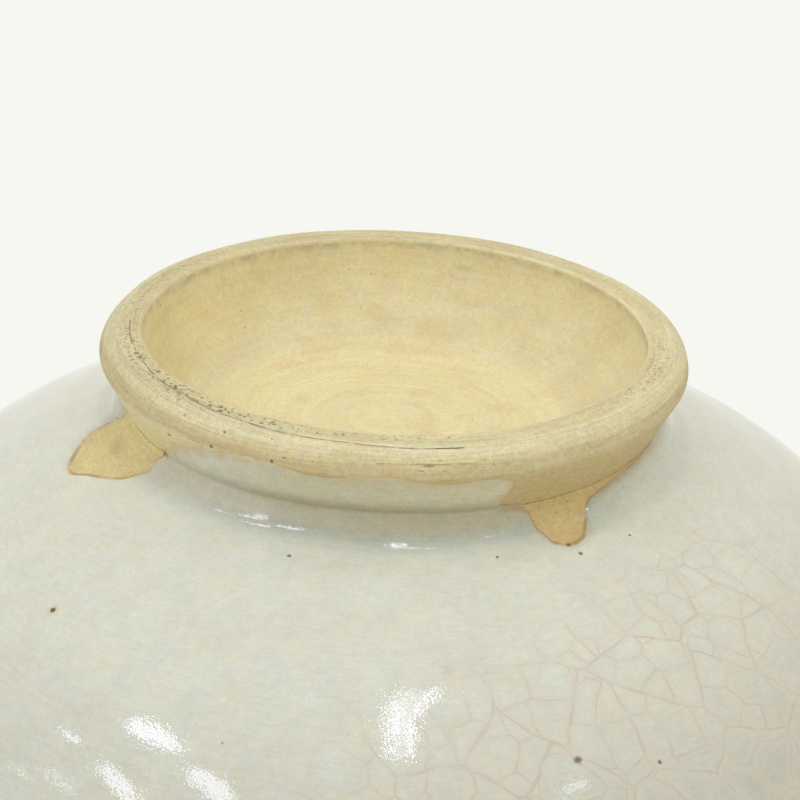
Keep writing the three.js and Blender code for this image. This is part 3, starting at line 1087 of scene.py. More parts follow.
        hollows = self.hollows(made)
        colour = made.mix(made.times(hollows, self.hollow_strength), colour, self.dirt)
        for line in self.lines:
            mask = line.mask(made)
            colour = made.mix(made.times(mask, line.strength), colour, line.tone)
            hollows = made.math("MULTIPLY_ADD", mask, line.depth / self.hollow_depth, hollows)
        made.join(paint_spots(made, colour, self.spots), shader.inputs["Base Color"])

        relief = made.math("MULTIPLY_ADD", on_ring, self.ring_line_relief, self.line_relief)
        relief = made.math("MULTIPLY_ADD", grain, self.grain_relief, made.times(fine, relief))
        relief = made.math("MULTIPLY_ADD", hollows, -self.hollow_depth, relief)
        made.join(made.bump(relief), shader.inputs["Normal"])
        smooth, coarse_end = self.roughness - self.roughness_spread, self.roughness + self.roughness_spread
        made.join(made.ramp(grain, *self.grain_range, smooth, coarse_end), shader.inputs["Roughness"])
        return material

    def streak(self, made: Recipe, colour: Socket, value: Socket, amount: Socket) -> Socket:
        """Returns the colour browner where a value is low and paler where it is high."""
        dark, light = (made.mix(amount, WHITE, tint) for tint in (self.browner, self.paler))
        return made.vector("MULTIPLY", colour, made.mix(made.fade(value, self.streak_tones), dark, light))

    def ground(self, made: Recipe, where: Socket, along: Socket) -> Socket:
        """Makes the clay's colour by zone, with broad and middling blotches and painted shade under the
        recess's edge.

        Args:
            made: The material's recipe.
            where: Place in millimetres.
            along: Distance along the section.

        Returns:
            The colour.
        """
        colour = made.mix(made.patches(where, self.clouds), self.pale, self.tan)
        # painted shade just under the recess's edge, broken into patches
        shade_under_rim = made.times(made.within(along, self.recess_rim), made.patches(where, self.shade_under_rim_patches))
        colour = made.mix(shade_under_rim, colour, self.shade_under_rim)
        colour = made.mix(made.fade(along, self.floor_colour), colour, self.floor)
        blush = made.times(made.patches(where, self.blush_patches), made.fade(along, self.blushing))
        colour = made.mix(made.times(blush, self.blush_strength), colour, self.blush)
        pale_zone = made.times(made.within(along, self.pale_zone), self.pale_strength)
        colour = made.mix(pale_zone, colour, self.light_band)
        colour = made.mix(made.fade(along, self.band_below), colour, self.band_tan)
        colour = made.mix(made.fade(along, self.wall_below), colour, self.wall_tan)
        colour = made.mix(made.fade(along, self.marks_below), colour, self.mark_tan)
        colour = made.tint(colour, made.patches(where, self.blotches), self.greenish, self.pinkish)
        colour = made.tint(colour, made.patches(where, self.sand), self.yellowish, self.bluish)
        return self.by_side(made, colour, where, along)

    def by_side(self, made: Recipe, colour: Socket, where: Socket, along: Socket) -> Socket:
        """Paints shade on the ring's top at its left and back, paints light on its undercut side at the
        left, and makes the side darker and browner at the right.

        Args:
            made: The material's recipe.
            colour: The clay's colour.
            where: Place in millimetres.
            along: Distance along the section.

        Returns:
            The colour.
        """
        x, y, _ = made.add("ShaderNodeSeparateXYZ", {0: where}).outputs
        on_top = made.within(along, self.ring_top)
        # painted shade on the ring's top at its left and back
        at_left = made.times(made.fade(x, self.ring_left), on_top)
        at_back = made.times(made.fade(y, self.ring_back), on_top)
        colour = made.tint(colour, made.math("MAXIMUM", at_left, at_back), WHITE, self.ring_top_shade)
        recess = made.times(made.fade(x, self.recess_left), made.within(along, self.recess_wall))
        colour = made.tint(colour, recess, WHITE, self.golden)
        # painted light on the undercut side at the left
        side = made.times(made.fade(along, self.side_starts), made.fade(along, self.side_ends))
        colour = made.tint(colour, made.times(made.fade(x, self.side_left), side), WHITE, self.sunlit)
        # the side darker and browner towards the right
        right = made.times(made.fade(x, self.side_right), made.fade(along, self.right_starts))
        return made.tint(colour, right, WHITE, self.darker_browner_right)

    def by_the_glaze(
        self, made: Recipe, colour: Socket, where: Socket, along: Socket, border: Socket,
    ) -> Socket:
        """Lays an orange halo along the glaze and a thin broken brown line at it.

        Args:
            made: The material's recipe.
            colour: The clay's colour.
            where: Place in millimetres.
            along: Distance along the section.
            border: Distance to the glaze's border.

        Returns:
            The colour.
        """
        halo = made.times(made.fade(border, self.halo_width), made.patches(where, self.halo_patches))
        colour = made.mix(made.times(halo, self.halo_strength), colour, self.orange)
        edge = made.times(made.fade(border, self.burnt_width), made.patches(where, self.unbroken))
        edge = made.times(edge, made.fade(along, self.edge_at_root), self.burnt_strength)
        return made.mix(edge, colour, self.burnt)

    def hollows(self, made: Recipe) -> Socket:
        """Returns how deep small pits and open pores hollow the clay, from 0 to 1."""
        worn = made.mark(Mark.PITTED)
        dots = made.use(specks(), spacing=1.3, radius=0.11, share=0.2).outputs[0]
        pits = made.use(specks(), spacing=0.38, radius=0.17, share=0.6).outputs[0]
        holes = made.use(specks(), spacing=0.8, radius=0.28, share=0.5).outputs[0]
        pits = made.math("MULTIPLY", made.math("MAXIMUM", pits, holes), worn, clamp=True)
        return made.math("MAXIMUM", made.times(dots, self.pore_strength), pits)


@dataclass(frozen=True)
class GlazeFinish:
    """Pale grey-white glaze with a soft crackle, greyer where it lies thick in the corner of the foot, with
    painted shade.
    """

    name: str
    spots: list[Spot]
    milky: Colour = (0.745, 0.75, 0.61)
    warm: Colour = (0.725, 0.70, 0.56)
    bluish: Colour = (0.985, 1.0, 1.01)
    rosy: Colour = (1.018, 0.992, 0.975)
    yellowish: Colour = (1.0, 1.0, 0.95)
    whitish: Colour = (1.0, 1.0, 1.045)
    # colours by reach: in the corner at the root, greyer where the glaze lies thick and darker with painted
    # shade, darkest in the crease
    by_reach: tuple[tuple[float, Colour], ...] = (
        (-6.0, (0.68, 0.62, 0.39)), (-4.2, (0.69, 0.635, 0.43)), (-2.4, (0.74, 0.69, 0.485)),
        (-1.5, (0.71, 0.65, 0.45)), (-0.7, (0.57, 0.51, 0.355)), (-0.15, (0.48, 0.425, 0.28)),
        (0.12, (0.54, 0.49, 0.32)), (1.1, (0.525, 0.48, 0.33)), (1.9, (0.49, 0.485, 0.355)),
        (2.6, (0.515, 0.53, 0.42)), (3.2, (0.60, 0.62, 0.50)), (4.0, (0.70, 0.725, 0.59)),
        (5.2, (0.745, 0.755, 0.62)),
    )
    # the corner's colour at the right: thick glaze with painted shade
    cool_pool_shade: Colour = (0.60, 0.61, 0.48)
    cool_foot: Colour = (0.74, 0.725, 0.59)
    clay_edge: Colour = (0.68, 0.56, 0.32)
    dark_edge: Colour = (0.45, 0.31, 0.16)
    crack: Colour = (0.54, 0.43, 0.33)
    crack_halo: Colour = (0.72, 0.65, 0.52)
    iron: Colour = (0.20, 0.19, 0.14)
    roughness: float = 0.06
    # places in mm: counted sideways, towards the photo's left, or in reach
    warm_side: Fade = Fade(42.0, 68.0, high=0.8)
    # painted shade far out on the belly, more towards -X
    outer_right_shade: Fade = Fade(52.0, 82.0, 1.0, 0.88)
    cracked_side: Fade = Fade(39.0, 54.0)
    cracked_front: Fade = Fade(-8.0, -24.0, 0.15)
    pool_shade_reach: Fade = Fade(5.4, 3.6)
    pool_shade_left: Fade = Fade(19.0, 8.0, 0.55)
    pool_shade_far_right: Fade = Fade(-24.5, -20.5, 0.5)
    cool_right: Fade = Fade(-15.0, -21.0)
    cool_right_reach: Fade = Fade(-0.3, 0.3, high=0.75)
    cool_left: Fade = Fade(4.0, 16.0)
    cool_left_reach: Fade = Fade(-0.9, -1.8, high=0.55)
    # painted shade further out over the belly
    shade_further_out: Fade = Fade(19.0, 36.0, 1.0, 0.89)
    on_foot: Fade = Fade(3.2, 1.8)
    thin_on_foot: Fade = Fade(-0.1, -1.2)
    dull_zone: Zone = Zone(-6.5, -5.0, 1.4, 1.9)
    # distances to its own border, in mm
    thin_width: Fade = Fade(1.3, 0.0)
    thin_wander: float = 1.5  # how far the thin edge wanders
    edge_width: Fade = Fade(0.13, 0.01)
    edge_reach: Fade = Fade(0.35, 0.8, 0.12, 0.75)
    # soft patches
    clouds: Patches = Patches(9.0, Fade(0.35, 0.7, high=0.5), 4.0, 0.6)
    blushes: Patches = Patches(4.0, Fade(0.36, 0.64), roughness=0.6)
    sand: Patches = Patches(0.9, Fade(0.36, 0.64), roughness=0.6)
    crack_patches: Patches = Patches(2.4, Fade(0.36, 0.6, 0.35))
    unbroken: Patches = Patches(1.4, Fade(0.36, 0.6, 0.3))
    # how strongly each shows
    crack_strength: float = 0.46
    crack_halo_strength: float = 0.55
    thin_strength: float = 0.85
    right_weight: float = 0.5  # how much more a place counts sideways at the right
    streak_size: tuple[float, float] = (2.6, 0.38)  # round the bowl and outwards, in mm
    crack_lean: float = -38.0  # degrees
    ior: float = 1.5
    # relief, in mm
    soft_relief: float = 0.013
    fine_relief: float = 0.007
    dent_depth: float = 0.004
    dullness: float = 0.22

    def material(self) -> bpy.types.Material:
        """Returns the finished material."""
        material, made, shader = new_material(self.name)
        where, reach, border = made.place(), made.mark(Mark.REACH), made.mark(Mark.BORDER)
        x, y, _ = made.add("ShaderNodeSeparateXYZ", {0: where}).outputs
        sideways = made.math("MULTIPLY_ADD", x, -self.right_weight, made.radius(where))

        colour = made.mix(made.patches(where, self.clouds), self.milky, self.warm)
        colour = made.mix(made.fade(sideways, self.warm_side), colour, self.warm)
        # painted shade: darker far out on the belly and towards -X, where the light falls off
        colour = made.shade(colour, made.fade(sideways, self.outer_right_shade))
        # the corner at the foot's root: thick glaze with painted shade
        pooled_and_shaded = made.times(made.fade(reach, self.pool_shade_reach), made.fade(x, self.pool_shade_left))
        pooled_and_shaded = made.times(pooled_and_shaded, made.fade(x, self.pool_shade_far_right))
        at_right = made.times(made.fade(x, self.cool_right), made.fade(reach, self.cool_right_reach))
        at_left = made.times(made.fade(x, self.cool_left), made.fade(reach, self.cool_left_reach))
        at_foot = made.mix(at_left, made.bands(reach, self.by_reach), self.cool_foot)
        colour = made.mix(pooled_and_shaded, colour, made.mix(at_right, at_foot, self.cool_pool_shade))
        # painted shade further out over the belly, where the steeper wall takes less light
        colour = made.shade(colour, made.fade(reach, self.shade_further_out))
        colour = made.tint(colour, made.patches(where, self.blushes), self.bluish, self.rosy)
        colour = made.tint(colour, made.patches(where, self.sand), self.yellowish, self.whitish)
        turned_x, turned_y = (made.math("MULTIPLY", part, -1.0) for part in (x, y))
        across = made.math("MULTIPLY", CRACK_GIRTH, made.math("ARCTAN2", turned_y, turned_x))
        outwards = made.mark(Mark.SPREAD)
        long, wide = self.streak_size
        parts = {0: made.math("DIVIDE", across, long), 1: made.math("DIVIDE", outwards, wide)}
        drawn = made.add("ShaderNodeCombineXYZ", parts).outputs[0]
        on_foot = made.fade(reach, self.on_foot)
        mottles = (  # noise, how strong all over, how much stronger on the foot
            (made.noise(where, size=0.3, detail=2.0, roughness=0.7), 0.2, 0.12),
            (made.noise(drawn, size=1.0, detail=3.0, roughness=0.6), 0.18, 0.05),
            (made.noise(where, size=1.0, detail=3.0, roughness=0.6), 0.16, 0.1),
            (made.noise(where, size=3.5, detail=2.0), 0.13, 0.0),
        )
        for noise, amount, extra in mottles:
            amount = made.math("MULTIPLY_ADD", on_foot, extra, amount)
            colour = made.shade(colour, made.swing(noise, amount))
        cracks, halo = self.cracks(made, where, y, sideways, across, outwards)
        colour = made.mix(halo, colour, self.crack_halo)
        colour = made.mix(cracks, colour, self.crack)

        for spacing, radius, share, strength in ((2.9, 0.13, 0.13, 0.55), (2.0, 0.11, 0.35, 0.2)):
            dots = made.use(specks(), spacing=spacing, radius=radius, share=share).outputs[0]
            colour = made.mix(made.times(dots, strength), colour, self.iron)
        colour = self.at_the_border(made, colour, where, reach, border)
        made.join(paint_spots(made, colour, self.spots), shader.inputs["Base Color"])

        skin = made.times(made.noise(where, size=1.6, detail=1.0), self.soft_relief)
        skin = made.math("MULTIPLY_ADD", made.noise(where, size=0.28, detail=1.0), self.fine_relief, skin)
        dents = made.use(specks(), spacing=0.42, radius=0.1, share=0.5).outputs[0]
        skin = made.math("MULTIPLY_ADD", dents, -self.dent_depth, skin)
        made.join(made.bump(skin), shader.inputs["Normal"])
        dull = made.math("MULTIPLY_ADD", made.within(reach, self.dull_zone), self.dullness, self.roughness)
        made.join(dull, shader.inputs["Roughness"])
        shader.inputs["IOR"].default_value = self.ior
        return material

    def cracks(
        self, made: Recipe, where: Socket, to_back: Socket, sideways: Socket, across: Socket,
        outwards: Socket,
    ) -> tuple[Socket, Socket]:
        """Masks the cracks and the tint along them.

        Args:
            made: The material's recipe.
            where: Place in millimetres.
            to_back: Its part towards the back.
            sideways: How far out it lies, counted more at the right.
            across: Millimetres round the glaze at the girth of the cracks.
            outwards: Millimetres outwards, in the same measure.

        Returns:
            Shares of the crack's colour and of its tint.
        """
        net = made.use(crackle(), across=across, outwards=outwards, cell_size=4.0, line_width=0.2,
                       halo_width=0.85, lean=math.radians(self.crack_lean)).outputs
        patches = made.patches(where, self.crack_patches)
        shown = made.times(made.fade(sideways, self.cracked_side), made.fade(to_back, self.cracked_front))
        lines = made.times(made.times(net[0], patches), made.times(shown, self.crack_strength))
        return lines, made.times(net[1], made.times(shown, self.crack_halo_strength))

    def at_the_border(
        self, made: Recipe, colour: Socket, where: Socket, reach: Socket, border: Socket,
    ) -> Socket:
        """Thins the glaze out to clay on the foot and ends it in a dark line beyond it.

        Args:
            made: The material's recipe.
            colour: The glaze's colour.
            where: Place in millimetres.
            reach: Distance from the foot's root.
            border: Distance to the glaze's border.

        Returns:
            The colour.
        """
        ragged = made.noise(where, size=0.9, detail=4.0, roughness=0.65)
        ragged = made.math("MULTIPLY_ADD", ragged, 2 * self.thin_wander, -self.thin_wander)
        thin = made.fade(made.math("ADD", border, ragged), self.thin_width)
        thin = made.times(thin, made.fade(reach, self.thin_on_foot), self.thin_strength)
        colour = made.mix(thin, colour, self.clay_edge)
        edge = made.times(made.fade(border, self.edge_width), made.patches(where, self.unbroken))
        return made.mix(made.times(edge, made.fade(reach, self.edge_reach)), colour, self.dark_edge)


@dataclass
class Piece(ABC):
    """What the four pieces of the bowl share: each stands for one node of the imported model."""

    form: BowlForm
    node: ClassVar[str]
    slot: ClassVar[Slot]

    @abstractmethod
    def build(self) -> bpy.types.Object:
        """Makes the piece's mesh, each piece in its own way."""

    def dress(self, piece: bpy.types.Object, material: bpy.types.Material) -> None:
        """Gives the piece its material, hangs it under the body and hides the imported node it stands for.

        Args:
            piece: The piece as built.
            material: Its finish.
        """
        node, slot = self.node, self.slot
        piece.data.materials.append(material)
        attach(piece, BODY)
        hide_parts(node)


@dataclass
class FootRing(Piece):
    """The turned ring that the bowl stands on."""

    border: GlazeBorder
    lines: list[FineLine]
    node: ClassVar[str] = "foot_ring"
    slot: ClassVar[Slot] = Slot.CLAY
    columns: int = 720
    steps: tuple[int, ...] = (42, 2, 12, 34, 6, 22)  # wall, bevel, resting face, edge, turn, side
    seat_width: float = 0.3
    sharp: float = 50.0  # degrees
    rest_level: float = 0.02  # heights under this belong to the resting face
    calm_length: float = 1.2  # over which the ridges die away at the seam
    relief: tuple[Ripple, ...] = (
        Ripple(0.02, 4, 0.42, 1), Ripple(0.045, 3, 1.3, 2), Ripple(0.07, 22, 3.5, 3),
    )
    wear: Ripple = Ripple(0.02, 40, 0.5, 4)  # of the resting face
    border_from: float = 3.0  # mm along the section from which the glaze's border matters
    worn_height: float = 1.0  # height under which there are pits
    worn_places: tuple[tuple[float, ...], ...] = (
        # azimuth, half its length in degrees, radius, half its width, strength
        (-36.0, 26.0, 26.4, 1.0, 1.3), (-72.0, 30.0, 25.9, 0.7, 0.9), (-160.0, 26.0, 26.2, 1.0, 0.5),
        (15.0, 45.0, 26.2, 1.0, 0.4),
    )

    def section(self) -> tuple[Array, int, int]:
        """Draws the ring's closed section.

        Returns:
            The section, and the numbers of its points at the recess's edge and at the root.
        """
        seam_height = self.form.seam_height
        wall = self.form.recess_parts(seam_height)[1]
        bevel_end = np.array([self.form.rest_inner_radius, 0.0])
        rest_outer = self.form.foot_radius - self.form.rest_outer_inset
        edge, turn, side = self.form.foot_outside()
        bevel, rest = np.array([wall[-1], bevel_end]), np.array([bevel_end, [rest_outer, 0.0]])
        drawn = zip((wall, bevel, rest, edge, turn, side), self.steps)
        inner, bevel, *outside = (stretch(line, steps) for line, steps in drawn)
        seat = np.array([side[-1], [inner[0, 0] + self.seat_width, seam_height], inner[0]])
        outside = joined(*outside)
        section = joined(inner, bevel, outside, seat)
        return section[:-1], len(inner) - 1, len(inner) + len(bevel) + len(outside) - 3

    def build(self) -> bpy.types.Object:
        """Makes the ring.

        Returns:
            The ring's object.
        """
        section, edge_number, root_number = self.section()
        azimuths = around(self.columns)
        along = lengths_along(section)
        along = along - along[edge_number]
        azimuth, distance = np.broadcast_arrays(azimuths[:, None], along)
        rest = (section[:, 1] < self.rest_level) & (along >= 0)
        number = np.arange(len(section))
        skin = (number > 0) & (number <= root_number)
        root, calm_length = along[root_number], self.calm_length
        calm = ease(along, along[0], along[0] + calm_length) * ease(-along, -root, calm_length - root)
        lift = heaped(self.relief, azimuth, distance) * np.where(rest, 0.0, 1.0) * skin * calm
        lift = np.where(rest, -self.wear.height - self.wear.over(azimuth, distance), lift)
        grid = turned(section, azimuths, lift)
        grid[..., 2] = np.maximum(grid[..., 2], 0.0)
        radius = np.hypot(grid[..., 0], grid[..., 1])
        reach = distance - root + self.form.corner_below_root
        border = self.border.distance(azimuth, reach)
        values = {
            Mark.ALONG: distance,
            Mark.BORDER: np.where(distance > self.border_from, border, DEEP_IN_CLAY),
            Mark.PITTED: self.pitted(azimuth, radius, grid[..., 2]),
            **{line.name: line.stored(azimuth, distance) for line in self.lines},
        }
        parts = MeshParts()
        numbers = parts.add_points(grid, values)
        closed = np.concatenate([numbers, numbers[:, :1]], axis=1)
        parts.add_grid(closed)
        return parts.build("ring_of_the_foot", self.sharp)

    def pitted(self, azimuth: Array, radius: Array, height: Array) -> Array:
        """Spreads the pits: most of them on the worn left front of the resting face.

        Args:
            azimuth: Azimuths in degrees.
            radius: Distances from the axis.
            height: Heights, all three in one shape.

        Returns:
            How thick the pits lie.
        """
        thick = np.zeros(azimuth.shape)
        for middle, half_length, girth, half_width, strength in self.worn_places:
            sideways, outwards = (azimuth - middle) / half_length, (radius - girth) / half_width
            thick += strength * np.exp(-(sideways**2) - outwards**2)
        return np.where(height < self.worn_height, thick, 0.0)


@dataclass
class BowlBody(Piece):
    """The clay of the bowl, bare in the recess and at the two finger marks."""

    border: GlazeBorder
    node: ClassVar[str] = "bowl_body"
    slot: ClassVar[Slot] = Slot.CLAY
    columns: int = 360
    floor_steps: int = 56
    shoulder_steps: int = 90
    clay_steps: int = 44
    upper_steps: tuple[int, int, int] = (20, 18, 22)  # belly, wall and lip, inside
    seat_gap: float = 0.005  # between the ring's skin and the base's
    seat_inset: float = 0.1
    bare_reach: float = 14.0  # no clay shows beyond it
    sharp: float = 28.0  # degrees
    relief: tuple[Ripple, ...] = (
        Ripple(0.022, 3, 1.7, 11), Ripple(0.008, 4, 0.5, 12), Ripple(0.06, 20, 3.5, 13),
    )
    calm_middle: float = 1.5  # lengths over which the relief dies away at the middle and at the seam
    calm_seam: float = 1.2

    def build(self) -> bpy.types.Object:
        """Makes the body.

        Returns:
            The body's object.
        """
        form = self.form
        seat_height = form.seam_height + self.seat_gap
        floor = stretch(form.recess_parts(seat_height)[0], self.floor_steps)
        recess_start = -lengths_along(form.recess())[-1]
        face = stretch(form.shoulder(), self.shoulder_steps)
        clay = stretch(face - outward(face) * form.glaze_thickness, self.clay_steps)
        seat = np.array([[form.root[0] - self.seat_inset, seat_height]])
        lines = form.belly()[0], form.wall_and_lip(), form.inside()
        upper = joined(*(stretch(line, steps) for line, steps in zip(lines, self.upper_steps)))
        hidden = upper - outward(upper) * form.glaze_thickness
        hidden[-1, 0] = 0.0
        section = np.vstack([floor, seat, clay, hidden[1:]])
        azimuths = around(self.columns)
        along = lengths_along(section)
        azimuth, distance = np.broadcast_arrays(azimuths[:, None], along + recess_start)
        on_floor = np.arange(len(section)) < len(floor) - 1
        floor_end = along[len(floor) - 1]
        calm = ease(along, 0.0, self.calm_middle), ease(floor_end - along, 0.0, self.calm_seam)
        lift = heaped(self.relief, azimuth, distance) * on_floor * calm[0] * calm[1]
        grid = form.sag(turned(section, azimuths, lift))
        first_clay = len(floor) + len(seat)
        reach = along - along[first_clay]
        outside = (np.arange(len(section)) >= first_clay) & (reach < self.bare_reach)
        border = self.border.distance(azimuth, np.broadcast_to(reach, azimuth.shape))
        values = {
            Mark.ALONG: np.where(outside, reach + ROOT_ALONG, distance),
            Mark.BORDER: np.where(outside, border, DEEP_IN_CLAY),
            Mark.PITTED: 0.0,
        }
        parts = MeshParts()
        numbers = parts.add_points(grid, values)
        parts.add_grid(numbers[:, 1:-1])
        parts.add_pole(numbers[::-1, 1], int(numbers[0, 0]))
        parts.add_pole(numbers[:, -2], int(numbers[0, -1]))
        return parts.build("body_of_the_bowl", self.sharp)


@dataclass
class OuterGlaze(Piece):
    """The glaze outside, a thin shell that dips under the clay along its border."""

    border: GlazeBorder
    node: ClassVar[str] = "outer_glaze"
    slot: ClassVar[Slot] = Slot.GLAZE
    front: tuple[float, float] = (-150.0, -4.0)  # azimuths between which the border wanders
    front_columns: int = 416
    back_columns: int = 184
    first_edge_point: int = 40  # of the rounded edge's arc, below which no glaze comes
    wall_steps: int = 60
    shoulder_steps: int = 160
    face_steps: tuple[int, int, int, int, int] = (32, 4, 52, 24, 24)
    block: int = 4  # fine cells to one coarse cell of the hidden side
    dip: float = 0.12
    dip_length: float = 0.3
    meniscus: float = 0.28  # distance over which it swells up from its border
    meniscus_on_foot: float = 0.7
    foot_reach: float = -0.8  # reach under which it lies on the foot's side
    side_reach: float = -5.5  # reach at which it is as thin as on the widest line
    thick_reach: float = 0.8  # reach from which it has its full thickness
    corner_round: float = 0.22  # how far the round of the corner at the root reaches
    corner_extra: float = 0.22  # how much thicker it lies over the root itself
    corner_width: float = 0.3
    near_reach: float = 16.0  # beyond it the border is far
    kept_beyond: float = 0.5  # how far its skin goes on under the clay
    flow: tuple[Ripple, ...] = (Ripple(0.05, 26, 6.0, 21), Ripple(0.03, 70, 2.2, 22))
    flow_starts: Fade = Fade(0.3, 2.0)  # distances to the border
    calm_lip: float = 6.0  # length over which the relief dies away at the end
    hidden_depth: float = 0.4  # of the hidden side, under half the thickness
    sharp: float = 60.0  # degrees

    def section(self) -> tuple[Array, Array]:
        """Draws the face's section.

        Returns:
            The section and the reach of each of its points.
        """
        form = self.form
        edge, turn, side = form.foot_outside()
        top = joined(edge[self.first_edge_point:], turn)
        top = top + outward(top) * form.foot_glaze_thickness
        corner = np.array(form.glaze_root)
        wall = stretch(np.array([top[-1], corner]), self.wall_steps)
        shoulder = stretch(form.shoulder(), self.shoulder_steps)
        wall_end = wall[lengths_along(wall) < lengths_along(wall)[-1] - self.corner_round]
        shoulder_start = shoulder[lengths_along(shoulder) > self.corner_round]
        share = np.linspace(0, 1, 9)[1:-1, None]
        start, end = wall_end[-1], shoulder_start[0]
        rounded = start * (1 - share) ** 2 + 2 * corner * share * (1 - share) + end * share**2
        pool = np.vstack([start, rounded, end])
        lines = joined(top, wall_end), pool, shoulder_start, form.belly()[0], form.wall_and_lip()
        face = joined(*(stretch(line, steps) for line, steps in zip(lines, self.face_steps)))
        along = lengths_along(face)
        nearest = np.argmin(np.hypot(*(face - corner).T))
        return face, along - along[nearest]

    def sunk(self, distance: Array, border: Array) -> Array:
        """Measures how far the skin sinks along the border, and how much it swells over the root.

        Args:
            distance: Reaches.
            border: Distances to the border, in the same shape.

        Returns:
            Millimetres by which the skin lies under the full face.
        """
        form = self.form
        at_foot, at_root = form.foot_glaze_thickness, form.root_glaze_thickness
        thickness = np.interp(distance, (self.side_reach, 0.0), (at_foot, at_root))
        thickness = thickness + (form.glaze_thickness - at_root) * ease(distance, 0.0, self.thick_reach)
        thickness = thickness + self.corner_extra * np.exp(-((distance / self.corner_width) ** 2))
        meniscus = np.where(distance < self.foot_reach, self.meniscus_on_foot, self.meniscus)
        fullness = 1 - np.exp(-np.maximum(border, 0) / meniscus)
        return thickness * (1 - fullness) + self.dip * ease(-border, 0.0, self.dip_length)

    def build(self) -> bpy.types.Object:
        """Makes the shell.

        Returns:
            The shell's object.
        """
        form, block = self.form, self.block
        face, reach = self.section()
        front_start, front_end = self.front
        azimuths = np.r_[
            np.linspace(front_start, front_end, self.front_columns, endpoint=False),
            np.linspace(front_end, front_start + 360, self.back_columns, endpoint=False),
        ]
        azimuth, distance = np.broadcast_arrays(azimuths[:, None], reach)
        near = distance < self.near_reach
        border = np.where(near, self.border.distance(azimuth, distance), distance)
        fully = ease(border, self.flow_starts.start, self.flow_starts.end)
        flow = heaped(self.flow, azimuth, distance) * fully
        lift = flow - self.sunk(distance, border)
        lip = ease(distance, reach[-1] - self.calm_lip, reach[-1])
        outer = form.sag(turned(face, azimuths, lift * (1 - lip)))
        depth = self.hidden_depth + form.glaze_thickness * 0.5
        hidden = form.sag(turned(face[::block], azimuths[::block], -depth))
        kept = border > -self.kept_beyond
        blocks = kept[:, :-1].reshape(len(azimuths) // block, block, -1, block).any(axis=(1, 3))
        parts = MeshParts()
        spread = spread_along(face, CRACK_GIRTH)
        skin = parts.add_points(outer, {Mark.REACH: distance, Mark.BORDER: border, Mark.SPREAD: spread})
        back = parts.add_points(hidden, {
            Mark.REACH: reach[::block], Mark.BORDER: DEEP_IN_GLAZE, Mark.SPREAD: spread[::block],
        })
        parts.add_grid(skin, np.repeat(np.repeat(blocks, block, axis=0), block, axis=1))
        parts.add_grid(back, blocks, flip=True)
        self.add_walls(parts, skin, back, blocks)
        return parts.build("glaze_outside", self.sharp)

    def add_walls(self, parts: MeshParts, skin: Array, back: Array, blocks: Array) -> None:
        """Closes the shell where a kept block has no neighbour.

        Args:
            parts: The mesh in the making.
            skin: Numbers of the fine points.
            back: Numbers of the coarse points of the hidden side.
            blocks: Which blocks are kept.
        """
        n, m, step = len(skin), len(back), self.block
        for i, j in np.argwhere(blocks):
            columns = np.arange(i * step, i * step + step + 1) % n
            rows = np.arange(j * step, j * step + step + 1)
            right = (i + 1) % m
            low_left, low_right = int(back[i, j]), int(back[right, j])
            high_left, high_right = int(back[i, j + 1]), int(back[right, j + 1])
            if j == 0 or not blocks[i, j - 1]:
                parts.faces.append([*skin[columns[::-1], rows[0]].tolist(), low_left, low_right])
            if not blocks[right, j]:
                parts.faces.append([*skin[columns[-1], rows[::-1]].tolist(), low_right, high_right])
            if j == blocks.shape[1] - 1 or not blocks[i, j + 1]:
                parts.faces.append([*skin[columns, rows[-1]].tolist(), high_right, high_left])
            if not blocks[i - 1, j]:
                parts.faces.append([*skin[columns[0], rows].tolist(), high_left, low_left])


